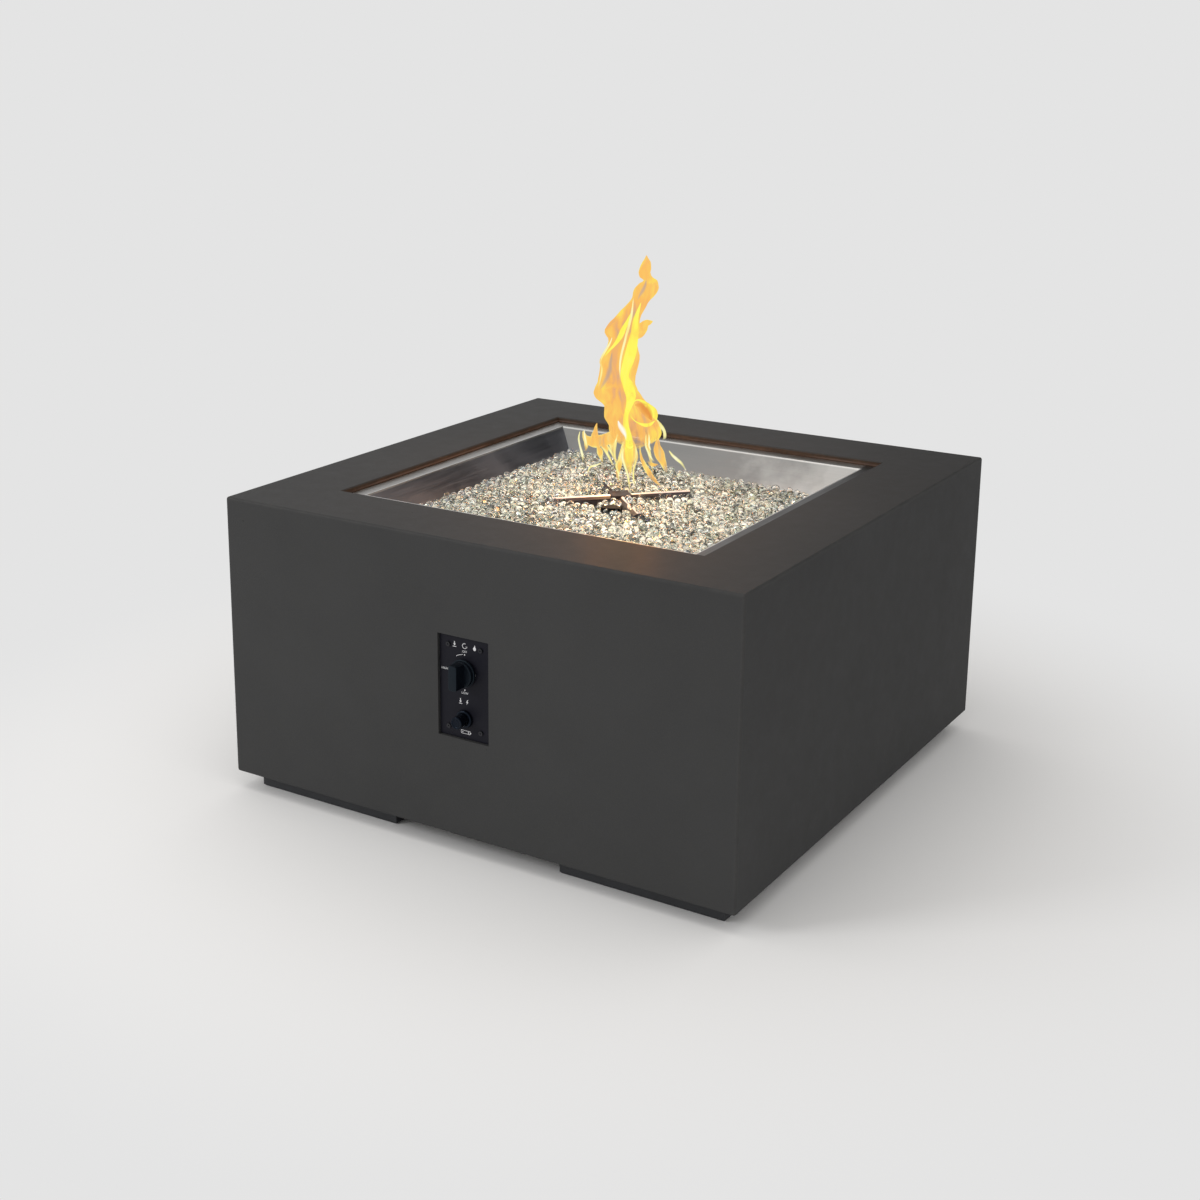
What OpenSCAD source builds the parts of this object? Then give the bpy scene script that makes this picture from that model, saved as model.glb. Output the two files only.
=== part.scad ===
// Square propane fire pit table: a cast concrete shell on four corner feet, a
// drop-in burner pan with a star burner under fire glass, and a recessed control
// panel with a push-and-turn gas valve and a push-button igniter.
// Millimetres, +Z up. The control panel faces -Y, and the origin lies on the floor
// under the centre of the burner.

/* [Concrete shell] */
// Width and depth of the table
table_w = 914; // [880:1:960]
// Height of the concrete shell above its feet
shell_h = 468; // [440:1:520]
// Thickness of the shell's walls
wall_t = 20; // [18:1:24]
// Thickness of the table top
top_t = 22; // [20:1:28]
// Radius of the shell's outer edges
edge_r = 4; // [2:0.5:8]
// Depth of the stiffening rim under the fire opening
rim_h = 46; // [38:1:52]
// Thickness of the cast ledges in the bottom corners
corner_ledge_t = 25; // [23:1:30]

/* [Corner feet] */
// Height of the feet
foot_h = 30; // [24:1:40]
// Distance of the feet inside the shell's outer faces
foot_inset = 30; // [26:1:36]
// Length of each leg of an L-shaped foot
foot_len = 275; // [240:5:310]
// Width of each leg of an L-shaped foot
foot_w = 60; // [50:1:70]

/* [Fire opening and burner pan] */
// Width of the square opening in the table top
opening_w = 654; // [640:1:668]
// Width of the ledge that carries the pan's flange
ledge_w = 16; // [12:1:20]
// Depth of the pan's flange below the table top
flange_drop = 9.5; // [8:0.5:12]
// Width of the pan's flange
flange_w = 26; // [24:1:32]
// Width of the pan's flat floor
pan_floor_w = 450; // [420:5:480]
// Depth of the pan below its flange
pan_depth = 62; // [56:1:70]
// Thickness of the pan's sheet
sheet_t = 1.5; // [1:0.25:2]

/* [Star burner] */
// Number of arms
arm_count = 4; // [3:1:4]
// Reach of the arms from the centre
arm_reach = 120; // [105:5:150]
// Width of an arm
arm_w = 18; // [16:1:22]
// Height of an arm
arm_h = 16; // [14:1:18]
// Angle of the first arm
arm_turn = 45; // [30:1:60]
// Height of the hub
hub_h = 18; // [18:1:22]
// Distance from the hub's centre to its flats
hub_apothem = 17; // [16:1:24]
// Height of the hub's underside above the pan's floor
burner_rise = 24; // [22:1:26]
// Outer diameter of the burner's pipe nipple
pipe_d = 21.3; // [18:0.1:24]

/* [Fire glass and flame] */
// Depth of the glass at the pan's walls
glass_depth = 28; // [25:1:30]
// Rise of the glass from the walls to the middle
glass_crown = 9; // [5:0.5:9.5]
// Rise of the glass from the middle to its left wall
glass_tilt = 4; // [0:0.5:5]
// Pitch of the pebbled top of the glass
glass_pitch = 21; // [18:1:30]
// Height of the flame
flame_h = 395; // [200:5:450]
// Width of the flame near its foot
flame_w = 108; // [70:1:120]

/* [Control panel] */
// Width of the panel
panel_w = 90; // [88:1:100]
// Height of the panel
panel_h = 160; // [158:1:180]
// Thickness of the panel
panel_t = 2; // [2:0.25:2.5]
// Depth of the panel's face inside the shell's front face
panel_recess = 5; // [3:0.5:6]
// Height of the panel's centre above the shell's bottom edge
panel_up = 239; // [225:1:255]
// Height of the knob above the panel's centre
knob_up = 25; // [22:1:28]
// Depth of the igniter below the panel's centre
igniter_down = 48; // [45:1:50]

/* [Knob and gas valve] */
// Diameter of the knob's skirt
knob_d = 44; // [40:1:48]
// Length of the knob
knob_l = 29; // [24:1:34]
// Travel of the knob when it is pushed in
knob_push = 3; // [2:0.5:4]
// Diameter of the valve's stem
stem_d = 8; // [6:0.5:9]
// Diameter of the gas inlet's flare spigot
spigot_d = 15.8; // [14:0.1:16]
// Diameter of the flexible gas hose over its ribs
hose_d = 14; // [12:0.5:15]

/* [Igniter] */
// Diameter of the push button
button_d = 19.5; // [18:0.5:20]
// Length of the push button in front of the panel
button_l = 24; // [20:1:26]
// Travel of the push button
button_travel = 4; // [2:0.5:4.5]

/* [Hidden] */
$fn = 64;

// Clearances: a seat that doesn't move, a running shaft, flat neighbours, a loose drop-in
seat_gap = 0.05;
run_gap = 0.1;
free_gap = 0.3;
drop_gap = 2;
sliver = 0.02;

// Heights and faces of the shell
half_w = table_w / 2;
top_z = foot_h + shell_h;
front_y = -half_w;
inner_half = half_w - wall_t;
ledge_z = top_z - flange_drop - sheet_t;
throat_w = opening_w - 2 * ledge_w;
rim_t = 24;
rim_chamfer = 1.5;

// Corner feet, with M8 bolts into cast-in inserts
foot_outer = half_w - foot_inset;
foot_inner = foot_outer - foot_w;
foot_end = foot_outer - foot_len;
bolt_r = 3.9;
bolt_head_r = 6.5;
bolt_head_h = 8;
bolt_head_z = 2;
bolt_hole_r = 4.5;
bolt_head_room = 1.5;
bolt_end_gap = 2;
foot_insert_r = 6;
foot_insert_l = 20;
bolt_seat_z = bolt_head_z + bolt_head_h;
bolt_line = foot_outer - foot_w / 2;
bolt_end = foot_end + foot_w / 2;
foot_chamfer = 2;

// Burner pan
flange_out = opening_w - 2 * drop_gap;
pan_in = flange_out - 2 * flange_w;
flange_z = top_z - flange_drop;
pan_floor_z = flange_z - pan_depth;
slope_t = sheet_t * 1.5;
pan_seam = 0.1;
drain_r = 4;
drain_inset = 25;
drain_at = pan_floor_w / 2 - drain_inset;

// Star burner
hub_z = pan_floor_z + burner_rise;
burner_top_z = hub_z + hub_h;
arm_z = hub_z + (hub_h - arm_h) / 2;
arm_top_z = arm_z + arm_h;
arm_wall = 1.5;
arm_roof = 5;
hub_wall = 2;
arm_inset = 3;
arm_step = 360 / arm_count;
cap_t = 3;
port_r = 1.25;
port_drop = 2.5;
port_pitch = 12;
port_count = floor((arm_reach - cap_t - hub_apothem - port_pitch) / port_pitch);
pipe_r = pipe_d / 2;
pipe_wall = 2.8;
pipe_bore_r = pipe_r - pipe_wall;
locknut_rim = 9;
locknut_r = pipe_r + locknut_rim;
locknut_h = 8;

// Air mixer, orifice and elbow that hang under the pan
mixer_wall = 5.5;
mixer_r = pipe_r + mixer_wall;
mixer_h = 84;
mixer_drop = 6;
mixer_top_z = pan_floor_z - sheet_t - locknut_h - mixer_drop;
mixer_z = mixer_top_z - mixer_h;
socket_l = 16;
mixer_floor_t = 6;
slot_w = 10;
slot_h = 26;
slot_up = 10;
orifice_r = 6;
orifice_hex_r = 10;
orifice_hex_h = 6;
jet_r = 0.8;
jet_l = 4;
elbow_r = 10;
elbow_h = 24;
elbow_z = mixer_z - orifice_hex_h - elbow_h / 2;
elbow_reach = 45;

// Ignition bracket between the two front arms, off the middle to clear the gas hose
pilot_shift = 20;
pilot_angle = arm_turn + 2.5 * arm_step + pilot_shift;
pilot_at = 78;
probe_along = 8;
spark_along = -8;
bracket_l = 50;
bracket_w = 24;
bracket_t = 1.5;
bracket_screw_at = 20;
hood_l = 32;
hood_w = 22;
hood_t = 1.2;
hood_h = burner_rise + hub_h - bracket_t - 2;
screw_r = 2;
screw_head_r = 3.6;
screw_head_h = 2.2;
screw_tail = 2;
small_nut_h = 3;
probe_r = 3;
probe_drop = 20;
probe_up = 8;
probe_tip = 4;
insulator_r = 3.5;
insulator_drop = 25;
electrode_r = 1.2;
electrode_tail = 6;
electrode_tip = 12;

// Control panel and its pocket
panel_z = foot_h + panel_up;
face_y = front_y + panel_recess;
panel_back_y = face_y + panel_t;
panel_gap = 0.6;
panel_screw_side = 16;
panel_screw_end = 15;
panel_screw_x = panel_w / 2 - panel_screw_side;
panel_screw_z = panel_h / 2 - panel_screw_end;
panel_insert_r = 4;
panel_insert_back = 2;
panel_insert_l = wall_t - panel_recess - panel_t - panel_insert_back;
window_side = 7;
window_end = 25;
window_w = panel_w - 2 * window_side;
window_h = panel_h - 2 * window_end;
tongue_w = 42;
nut_room = 2;
screw_socket_l = 1.5;

// Gas valve behind the panel, measured along +Y from the panel's face
knob_z = panel_z + knob_up;
stem_r = stem_d / 2;
valve_w = 34;
valve_h = 40;
valve_l = 36;
valve_flange_w = 46;
valve_flange_h = 22;
valve_flange_t = 4;
valve_screw_at = 17;
valve_head_h = panel_t - free_gap;
bearing_l = 14;
cavity_r = 9;
cavity_y = panel_t + bearing_l;
valve_end = panel_t + valve_l;
port_back = 25;
port_y = panel_t + port_back;
gas_bore_r = 4.5;
boss_l = 12;
boss_r = 9.5;
stem_flange_r = 7;
stem_flange_t = 3;
plunger_r = 7.5;
plunger_t = 3;
rod_r = 3;
plug_l = 3;
magnet_hex_r = 14;
magnet_hex_h = 5;
magnet_r = 9;
magnet_l = 14;
guide_l = 13;
plunger_y = cavity_y + stem_flange_t + 2 * free_gap;
rod_y = plunger_y + plunger_t;
plug_y = valve_end - plug_l;
rod_end = plug_y + guide_l - knob_push - drop_gap;
couple_nut_r = 7;
couple_nut_l = 10;
couple_y = valve_end + magnet_hex_h + magnet_l;

// Knob
knob_gap = 0.5;
knob_back = knob_push + knob_gap;
knob_bore_l = 13;
knob_skirt_h = 4;
knob_skirt_w = 2;
knob_body_r = knob_d / 2 - knob_skirt_w;
knob_chamfer = 2;
knob_grip_w = 16;
knob_shoulder = 10;
stem_flat = stem_r * 0.6;
notch_w = 2;
notch_d = 1;

// Gas inlet elbow at the valve's left side
inlet_thread_r = 6.6;
inlet_wall = 2.6;
inlet_x = -valve_w / 2 - boss_l;
inlet_seat = 8;
elbow_body_r = 10;
elbow_neck = 4;
elbow_x = inlet_x - elbow_body_r - elbow_neck;
spigot_r = spigot_d / 2;
spigot_top = 12;
spigot_l = 22;
flare_l = 4;

// Igniter
igniter_z = panel_z - igniter_down;
button_r = button_d / 2;
barrel_bore_r = button_r + 0.75;
barrel_wall = 1.5;
barrel_r = barrel_bore_r + barrel_wall;
barrel_l = 62;
barrel_end_t = 3;
collar_rim = 2;
collar_r = barrel_r + collar_rim;
collar_t = 6;
button_flange_r = barrel_bore_r - free_gap;
button_flange_t = 2.5;
button_chamfer = 1.5;
shoulder_y = 0.5;
cup_wall = 2.25;
cup_r = button_r - cup_wall;
cup_y = -4;
battery_r = 7.25;
battery_pip_l = 1;
battery_room = 0.8;
battery_y = shoulder_y + free_gap + button_flange_t + button_travel + battery_room;
nut_rim = 5;
nut_r = barrel_r + nut_rim;
nut_t = 6;
terminal_at = 5;
terminal_w = 6;
terminal_t = 1;
terminal_l = 9;

// Springs, as wire radius, mean radius and turns
stem_spring_wire = 0.6;
stem_spring_r = rod_r + 2.2;
stem_spring_turns = 5;
button_spring_wire = 0.6;
button_spring_r = cup_r - drop_gap;
button_spring_turns = 5;
rings_per_turn = 8;

// Fire glass
glass_z = pan_floor_z + free_gap;
glass_half = pan_floor_w / 2 - free_gap;
pan_slope = (pan_in - pan_floor_w) / 2 / pan_depth;
glass_bump = 7;
glass_cut_h = 20;
glass_edge_h = glass_depth - glass_bump;
glass_cells = floor(2 * (glass_half + glass_edge_h * pan_slope) / glass_pitch);

// Flame: share of its height, sideways shift and share of its width, from foot to tip
flame_foot_z = burner_top_z + free_gap;
flame_shape = [
  [0, 0, 0.33], [0.06, 8, 0.43], [0.14, 15, 0.5], [0.22, 18, 0.48], [0.3, 17, 0.41], [0.38, 3, 0.33],
  [0.43, -8, 0.34], [0.5, -4, 0.29], [0.56, -1, 0.3], [0.65, 3, 0.22], [0.69, -1, 0.26], [0.76, 12, 0.19],
  [0.81, 26, 0.19], [0.85, 35, 0.2], [0.89, 42, 0.1], [0.92, 34, 0.085], [0.96, 37, 0.065], [1, 36, 0.01]
];
flame_turn = 33;
flame_thickness = 0.6;
flame_sides = 12;
lick_rings = 9;
lick_sides = 8;
lick_at = 94;
lick_w = 22;
lick_h = 54;
lick_h_step = 14;
lick_lean = 10;
lick_sway = 6;
lick_tip = 0.5;

// Wires and hose
lead_r = 1.25;
wire_r = 2;
hose_r = hose_d / 2;
hose_wall = 2.5;
hose_bore_r = hose_r - hose_wall;
hose_rib = 0.9;
hose_ribs = 60;
hose_nut_rim = 4;
hose_nut_r = hose_r + hose_nut_rim;
hose_nut_h = 16;

// Shared shapes

// A cylinder along +Y
module y_rod(r, l) {
  rotate([-90, 0, 0]) cylinder(r = r, h = l);
}

// A hexagonal prism along +Y, r over its corners
module y_hex(r, l) {
  rotate([-90, 0, 0]) cylinder(r = r, h = l, $fn = 6);
}

// A square prism centred on the Z axis
module square_block(w, h) {
  linear_extrude(h) square(w, center = true);
}

// A square frustum that widens or narrows upwards
module square_frustum(w_low, w_high, h) {
  linear_extrude(h, scale = w_high / w_low) square(w_low, center = true);
}

// Places its children at the knob's axis, or the igniter's, on the panel's face
module at_knob() {
  translate([0, face_y, knob_z]) children();
}

module at_igniter() {
  translate([0, face_y, igniter_z]) children();
}

// Repeats its children in the four corners, by mirroring
module in_corners() {
  for (sx = [-1, 1], sy = [-1, 1]) scale([sx, sy, 1]) children();
}

// Repeats its children at each arm of the burner, with the arm along +X
module at_arms() {
  for (k = [0 : arm_count - 1]) rotate(arm_turn + k * arm_step) children();
}

// Places its children at the ignition bracket, with X along the bracket
module at_bracket() {
  rotate(pilot_angle) translate([pilot_at, 0, 0]) rotate(90) children();
}

// Swept tubes: rings of points along a path, closed by triangles

function unit(v) = v / norm(v);

function tangent(path, i) =
  let (last = len(path) - 1)
  unit(path[min(i + 1, last)] - path[max(i - 1, 0)]);

function ring(centre, along, side_ref, r, sides) =
  let (u = unit(cross(along, side_ref)), v = cross(along, u))
  [for (k = [0 : sides - 1]) centre + r * (cos(360 * k / sides) * u + sin(360 * k / sides) * v)];

function bezier(a, b, c, d, t) =
  pow(1 - t, 3) * a + 3 * pow(1 - t, 2) * t * b + 3 * (1 - t) * t * t * c + t * t * t * d;

function curve(a, b, c, d, steps) = [for (i = [0 : steps]) bezier(a, b, c, d, i / steps)];

function side_faces(rings, sides, first, flip) = [
  for (i = [0 : rings - 2], k = [0 : sides - 1])
    let (
      p = first + i * sides + k, q = first + i * sides + (k + 1) % sides,
      r = q + sides, s = p + sides
    )
    each flip ? [[p, q, r], [p, r, s]] : [[p, r, q], [p, s, r]]
];

// A solid tube whose radius may change from ring to ring
module tube(path, radii, sides, side_ref) {
  rings = len(path);
  points = [for (i = [0 : rings - 1]) each ring(path[i], tangent(path, i), side_ref, radii[i], sides)];
  last = (rings - 1) * sides;
  polyhedron(points, concat(
    side_faces(rings, sides, 0, false),
    [for (k = [1 : sides - 2]) [0, k, k + 1]],
    [for (k = [1 : sides - 2]) [last, last + k + 1, last + k]]
  ));
}

// A hollow tube with a plain bore
module hollow_tube(path, radii, bore, sides, side_ref) {
  rings = len(path);
  outer = [for (i = [0 : rings - 1]) each ring(path[i], tangent(path, i), side_ref, radii[i], sides)];
  inner = [for (i = [0 : rings - 1]) each ring(path[i], tangent(path, i), side_ref, bore, sides)];
  n = rings * sides;
  last = n - sides;
  polyhedron(concat(outer, inner), concat(
    side_faces(rings, sides, 0, false),
    side_faces(rings, sides, n, true),
    [for (k = [0 : sides - 1]) let (q = (k + 1) % sides) each [[k, q, n + q], [k, n + q, n + k]]],
    [for (k = [0 : sides - 1]) let (q = (k + 1) % sides)
      each [[last + k, n + last + q, last + q], [last + k, n + last + k, n + last + q]]]
  ));
}

// A compression spring along +Y, from its first ring to its last
function spring_path(y, l, r, turns) =
  [for (i = [0 : turns * rings_per_turn])
    let (a = 360 * i / rings_per_turn) [r * cos(a), y + l * i / (turns * rings_per_turn), r * sin(a)]];

function least_turn_gap(path, wire) =
  min([for (i = [0 : len(path) - 1 - rings_per_turn]) norm(path[i + rings_per_turn] - path[i])]) - 2 * wire;

module spring(path, wire) {
  tube(path, [for (p = path) wire], 6, [0, 1, 0]);
}

// Concrete shell

module shell_outer() {
  corner = half_w - edge_r;
  hull() for (a = [0 : 30 : 90], sx = [-1, 1], sy = [-1, 1]) {
    r = max(edge_r * cos(a), sliver);
    rise = edge_r * sin(a);
    translate([sx * corner, sy * corner, foot_h + edge_r - rise])
      cylinder(r = r, h = shell_h - 2 * edge_r + 2 * rise, $fn = 32);
  }
}

// L-shaped outline in the +X +Y corner
module corner_outline(outer, inner, end) {
  polygon([[outer, outer], [end, outer], [end, inner], [inner, inner], [inner, end], [outer, end]]);
}

module foot_bolt_places() {
  for (p = [[bolt_line, bolt_line], [bolt_end, bolt_line], [bolt_line, bolt_end]]) translate(p) children();
}

module concrete_shell() {
  color("#3f3e3c") difference() {
    union() {
      difference() {
        shell_outer();
        translate([0, 0, foot_h - 1]) square_block(2 * inner_half, shell_h - top_t + 1);
      }
      translate([0, 0, top_z - rim_h]) square_block(throat_w + 2 * rim_t, rim_h - top_t / 2);
      in_corners() translate([0, 0, foot_h])
        linear_extrude(corner_ledge_t) corner_outline(inner_half + wall_t / 2, foot_inner, foot_end);
    }
    translate([0, 0, top_z - rim_h - 1]) square_block(throat_w, rim_h + 2);
    translate([0, 0, ledge_z]) square_block(opening_w, top_z - ledge_z + 1);
    translate([0, 0, top_z - rim_chamfer])
      square_frustum(opening_w, opening_w + 4 * rim_chamfer, 2 * rim_chamfer);
    panel_pocket();
    in_corners() foot_bolt_places() translate([0, 0, foot_h - 1])
      cylinder(r = foot_insert_r + seat_gap, h = foot_insert_l + 1);
  }
}

module panel_pocket() {
  pocket_d = panel_recess + panel_t;
  tongue_h = igniter_down + nut_r + nut_room;
  translate([-panel_w / 2 - panel_gap, front_y - 1, panel_z - panel_h / 2 - panel_gap])
    cube([panel_w + 2 * panel_gap, pocket_d + 1, panel_h + 2 * panel_gap]);
  translate([-window_w / 2, front_y, panel_z - window_h / 2]) cube([window_w, wall_t + 1, window_h]);
  translate([-tongue_w / 2, front_y, panel_z - tongue_h]) cube([tongue_w, wall_t + 1, tongue_h]);
  at_panel_screws() translate([0, panel_t, 0]) y_rod(panel_insert_r + seat_gap, panel_insert_l);
}

module at_panel_screws() {
  for (sx = [-1, 1], sz = [-1, 1])
    translate([sx * panel_screw_x, face_y, panel_z + sz * panel_screw_z]) children();
}

// Feet

module foot() {
  difference() {
    union() {
      translate([0, 0, foot_chamfer]) linear_extrude(foot_h - foot_chamfer)
        corner_outline(foot_outer, foot_inner, foot_end);
      linear_extrude(foot_chamfer)
        corner_outline(foot_outer - foot_chamfer, foot_inner + foot_chamfer, foot_end + foot_chamfer);
    }
    foot_bolt_places() {
      translate([0, 0, -1]) cylinder(r = bolt_hole_r, h = foot_h + 2);
      translate([0, 0, -1]) cylinder(r = bolt_head_r + bolt_head_room, h = bolt_seat_z + 1);
    }
  }
}

module corner_foot(sx, sy) {
  color("#26282c") scale([sx, sy, 1]) foot();
}

module foot_bolts() {
  color("#8d9094") in_corners() foot_bolt_places() difference() {
    union() {
      translate([0, 0, bolt_head_z]) cylinder(r = bolt_head_r, h = bolt_head_h);
      translate([0, 0, bolt_seat_z])
        cylinder(r = bolt_r, h = foot_h - bolt_seat_z + foot_insert_l - bolt_end_gap);
    }
    translate([0, 0, bolt_head_z - 1]) cylinder(r = bolt_r * 0.9, h = bolt_head_h * 0.6 + 1, $fn = 6);
  }
}

module foot_inserts() {
  color("#a8843f") in_corners() foot_bolt_places() translate([0, 0, foot_h]) difference() {
    cylinder(r = foot_insert_r, h = foot_insert_l);
    translate([0, 0, -1]) cylinder(r = bolt_r + run_gap, h = foot_insert_l);
  }
}

// Burner pan: a floor and four folded sides, which meet at welded seams

module burner_pan() {
  color("#9a9b9d") {
    pan_floor();
    for (a = [0 : 90 : 270]) rotate(a) pan_side();
  }
}

module pan_floor() {
  translate([0, 0, pan_floor_z - sheet_t]) difference() {
    square_block(pan_floor_w, sheet_t);
    translate([0, 0, -1]) {
      cylinder(r = pipe_r + free_gap, h = sheet_t + 2);
      in_corners() translate([drain_at, drain_at, 0]) cylinder(r = drain_r, h = sheet_t + 2);
      at_bracket() {
        translate([probe_along, 0, 0]) cylinder(r = probe_r + free_gap, h = sheet_t + 2);
        translate([spark_along, 0, 0]) cylinder(r = insulator_r + free_gap, h = sheet_t + 2);
        for (s = [-1, 1]) translate([s * bracket_screw_at, 0, 0])
          cylinder(r = screw_r + free_gap, h = sheet_t + 2);
      }
    }
  }
}

// The side towards +X: its section of wall and flange, cut along the corner seams
module pan_side() {
  foot_at = pan_floor_w / 2 + pan_seam;
  bend_at = pan_in / 2 + slope_t - sheet_t * pan_slope;
  section = [
    [foot_at, pan_floor_z - sheet_t], [pan_floor_w / 2 + slope_t, pan_floor_z - sheet_t],
    [bend_at, flange_z - sheet_t],
    [flange_out / 2, flange_z - sheet_t], [flange_out / 2, flange_z], [pan_in / 2, flange_z],
    [foot_at, pan_floor_z + pan_seam / pan_slope]
  ];
  intersection() {
    rotate([90, 0, 0]) linear_extrude(2 * flange_out, center = true) polygon(section);
    translate([0, 0, pan_floor_z - sheet_t - 1]) linear_extrude(pan_depth + sheet_t + 2)
      polygon([[pan_seam, 0], [flange_out, pan_seam - flange_out], [flange_out, flange_out - pan_seam]]);
  }
}

// Star burner

module burner_hub() {
  hub_r = hub_apothem / cos(180 / arm_count);
  inner_r = (hub_apothem - hub_wall) / cos(180 / arm_count);
  color("#77746f") translate([0, 0, hub_z]) difference() {
    rotate(arm_turn + arm_step / 2) cylinder(r = hub_r, h = hub_h, $fn = arm_count);
    translate([0, 0, hub_wall]) rotate(arm_turn + arm_step / 2)
      cylinder(r = inner_r, h = hub_h - 2 * hub_wall, $fn = arm_count);
    translate([0, 0, -1]) cylinder(r = pipe_r + run_gap, h = hub_wall + 2);
    at_arms() translate([hub_apothem - hub_wall, 0, hub_h / 2])
      cube([4 * hub_wall, arm_w - 2 * arm_inset, arm_h - 2 * arm_inset], center = true);
  }
}

// House-shaped section of an arm, with a ridge along its top
module arm_section(w, h, roof) {
  polygon([[-w / 2, 0], [w / 2, 0], [w / 2, h - roof], [0, h], [-w / 2, h - roof]]);
}

module arm_prism(w, h, roof, l) {
  rotate([90, 0, 90]) linear_extrude(l) arm_section(w, h, roof);
}

module burner_arms() {
  arm_l = arm_reach - cap_t - hub_apothem;
  color("#77746f") at_arms() translate([hub_apothem, 0, arm_z]) difference() {
    arm_prism(arm_w, arm_h, arm_roof, arm_l);
    translate([-1, 0, arm_wall])
      arm_prism(arm_w - 2 * arm_wall, arm_h - 2 * arm_wall, arm_roof * 0.85, arm_l + 2);
    for (k = [1 : port_count]) translate([k * port_pitch, -arm_w, arm_h - arm_roof - port_drop])
      y_rod(port_r, 2 * arm_w);
  }
}

module burner_end_caps() {
  color("#77746f") at_arms() translate([arm_reach - cap_t, 0, arm_z])
    arm_prism(arm_w, arm_h, arm_roof, cap_t);
}

module burner_nipple() {
  low_z = mixer_top_z - socket_l;
  color("#b08d4a") translate([0, 0, low_z]) difference() {
    cylinder(r = pipe_r, h = hub_z + hub_wall - low_z);
    translate([0, 0, -1]) cylinder(r = pipe_bore_r, h = hub_z + hub_wall - low_z + 2);
  }
}

module burner_locknuts() {
  color("#b08d4a") for (z = [pan_floor_z, pan_floor_z - sheet_t - locknut_h])
    translate([0, 0, z]) difference() {
    cylinder(r = locknut_r, h = locknut_h, $fn = 6);
    translate([0, 0, -1]) cylinder(r = pipe_r + run_gap, h = locknut_h + 2);
  }
}

module air_mixer() {
  slot_z = mixer_floor_t + slot_up;
  color("#8f9296") translate([0, 0, mixer_z]) difference() {
    cylinder(r = mixer_r, h = mixer_h);
    translate([0, 0, mixer_h - socket_l]) cylinder(r = pipe_r + run_gap, h = socket_l + 1);
    translate([0, 0, mixer_floor_t]) cylinder(r = pipe_bore_r + 1, h = mixer_h);
    translate([0, 0, -1]) cylinder(r = orifice_r + seat_gap, h = mixer_floor_t + 2);
    for (a = [0, 90]) rotate(a) translate([-mixer_r - 1, -slot_w / 2, slot_z])
      cube([2 * mixer_r + 2, slot_w, slot_h]);
  }
}

module gas_orifice() {
  color("#b08d4a") translate([0, 0, mixer_z - orifice_hex_h]) difference() {
    union() {
      cylinder(r = orifice_hex_r, h = orifice_hex_h, $fn = 6);
      cylinder(r = orifice_r, h = orifice_hex_h + mixer_floor_t + jet_l);
    }
    translate([0, 0, -1]) cylinder(r = gas_bore_r, h = orifice_hex_h + mixer_floor_t + 1);
    cylinder(r = jet_r, h = orifice_hex_h + mixer_floor_t + jet_l + 1);
  }
}

module burner_elbow() {
  color("#b08d4a") translate([0, 0, elbow_z]) difference() {
    union() {
      translate([0, 0, -elbow_h / 2]) cylinder(r = elbow_r, h = elbow_h);
      translate([0, -elbow_reach, 0]) y_rod(hose_r, elbow_reach);
    }
    cylinder(r = gas_bore_r, h = elbow_h);
    translate([0, -elbow_reach - 1, 0]) y_rod(gas_bore_r, elbow_reach + 1);
  }
}

// Gas hose from the valve's top to the elbow under the mixer

hose_start = [0, face_y + port_y, knob_z + valve_h / 2 + boss_l];
hose_end = [0, -elbow_reach, elbow_z];
hose_lift = 90;
hose_lead_in = 200;
hose_path = curve(
  hose_start, hose_start + [0, 0, hose_lift], hose_end - [0, hose_lead_in, 0], hose_end, 2 * hose_ribs
);
hose_radii = [for (i = [0 : 2 * hose_ribs])
  i < 4 || i > 2 * hose_ribs - 4 || i % 2 == 1 ? hose_r - hose_rib : hose_r];

module gas_hose() {
  color("#c3c5c7") hollow_tube(hose_path, hose_radii, hose_bore_r, 8, [1, 0, 0]);
}

// Each nut is bored for the hose on one side and for its fitting's spigot on the other
module hose_nut() {
  difference() {
    cylinder(r = hose_nut_r, h = hose_nut_h, $fn = 6);
    translate([0, 0, -1]) cylinder(r = hose_r + free_gap, h = hose_nut_h + 2);
  }
}

module hose_nuts() {
  color("#b08d4a") {
    translate(hose_start - [0, 0, hose_nut_h / 2]) hose_nut();
    translate(hose_end + [0, hose_nut_h / 2, 0]) rotate([90, 0, 0]) hose_nut();
  }
}

// Ignition bracket, electrode and thermocouple beside the hub

module ignition_bracket() {
  color("#8f9296") translate([0, 0, pan_floor_z]) at_bracket() difference() {
    translate([-bracket_l / 2, -bracket_w / 2, 0]) cube([bracket_l, bracket_w, bracket_t]);
    translate([probe_along, 0, -1]) cylinder(r = probe_r + seat_gap, h = bracket_t + 2);
    translate([spark_along, 0, -1]) cylinder(r = insulator_r + seat_gap, h = bracket_t + 2);
    for (s = [-1, 1]) translate([s * bracket_screw_at, 0, -1])
      cylinder(r = screw_r + run_gap, h = bracket_t + 2);
  }
}

// A sheet-metal hood over the electrode and the probe, open towards the front
module pilot_hood() {
  color("#4a4744") translate([0, 0, pan_floor_z + bracket_t]) at_bracket() difference() {
    translate([-hood_l / 2, -hood_w / 2, 0]) cube([hood_l, hood_w, hood_h]);
    translate([-hood_l / 2 + hood_t, -hood_w / 2 - 1, -1])
      cube([hood_l - 2 * hood_t, hood_w + 1 - hood_t, hood_h + 1 - hood_t]);
  }
}

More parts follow.
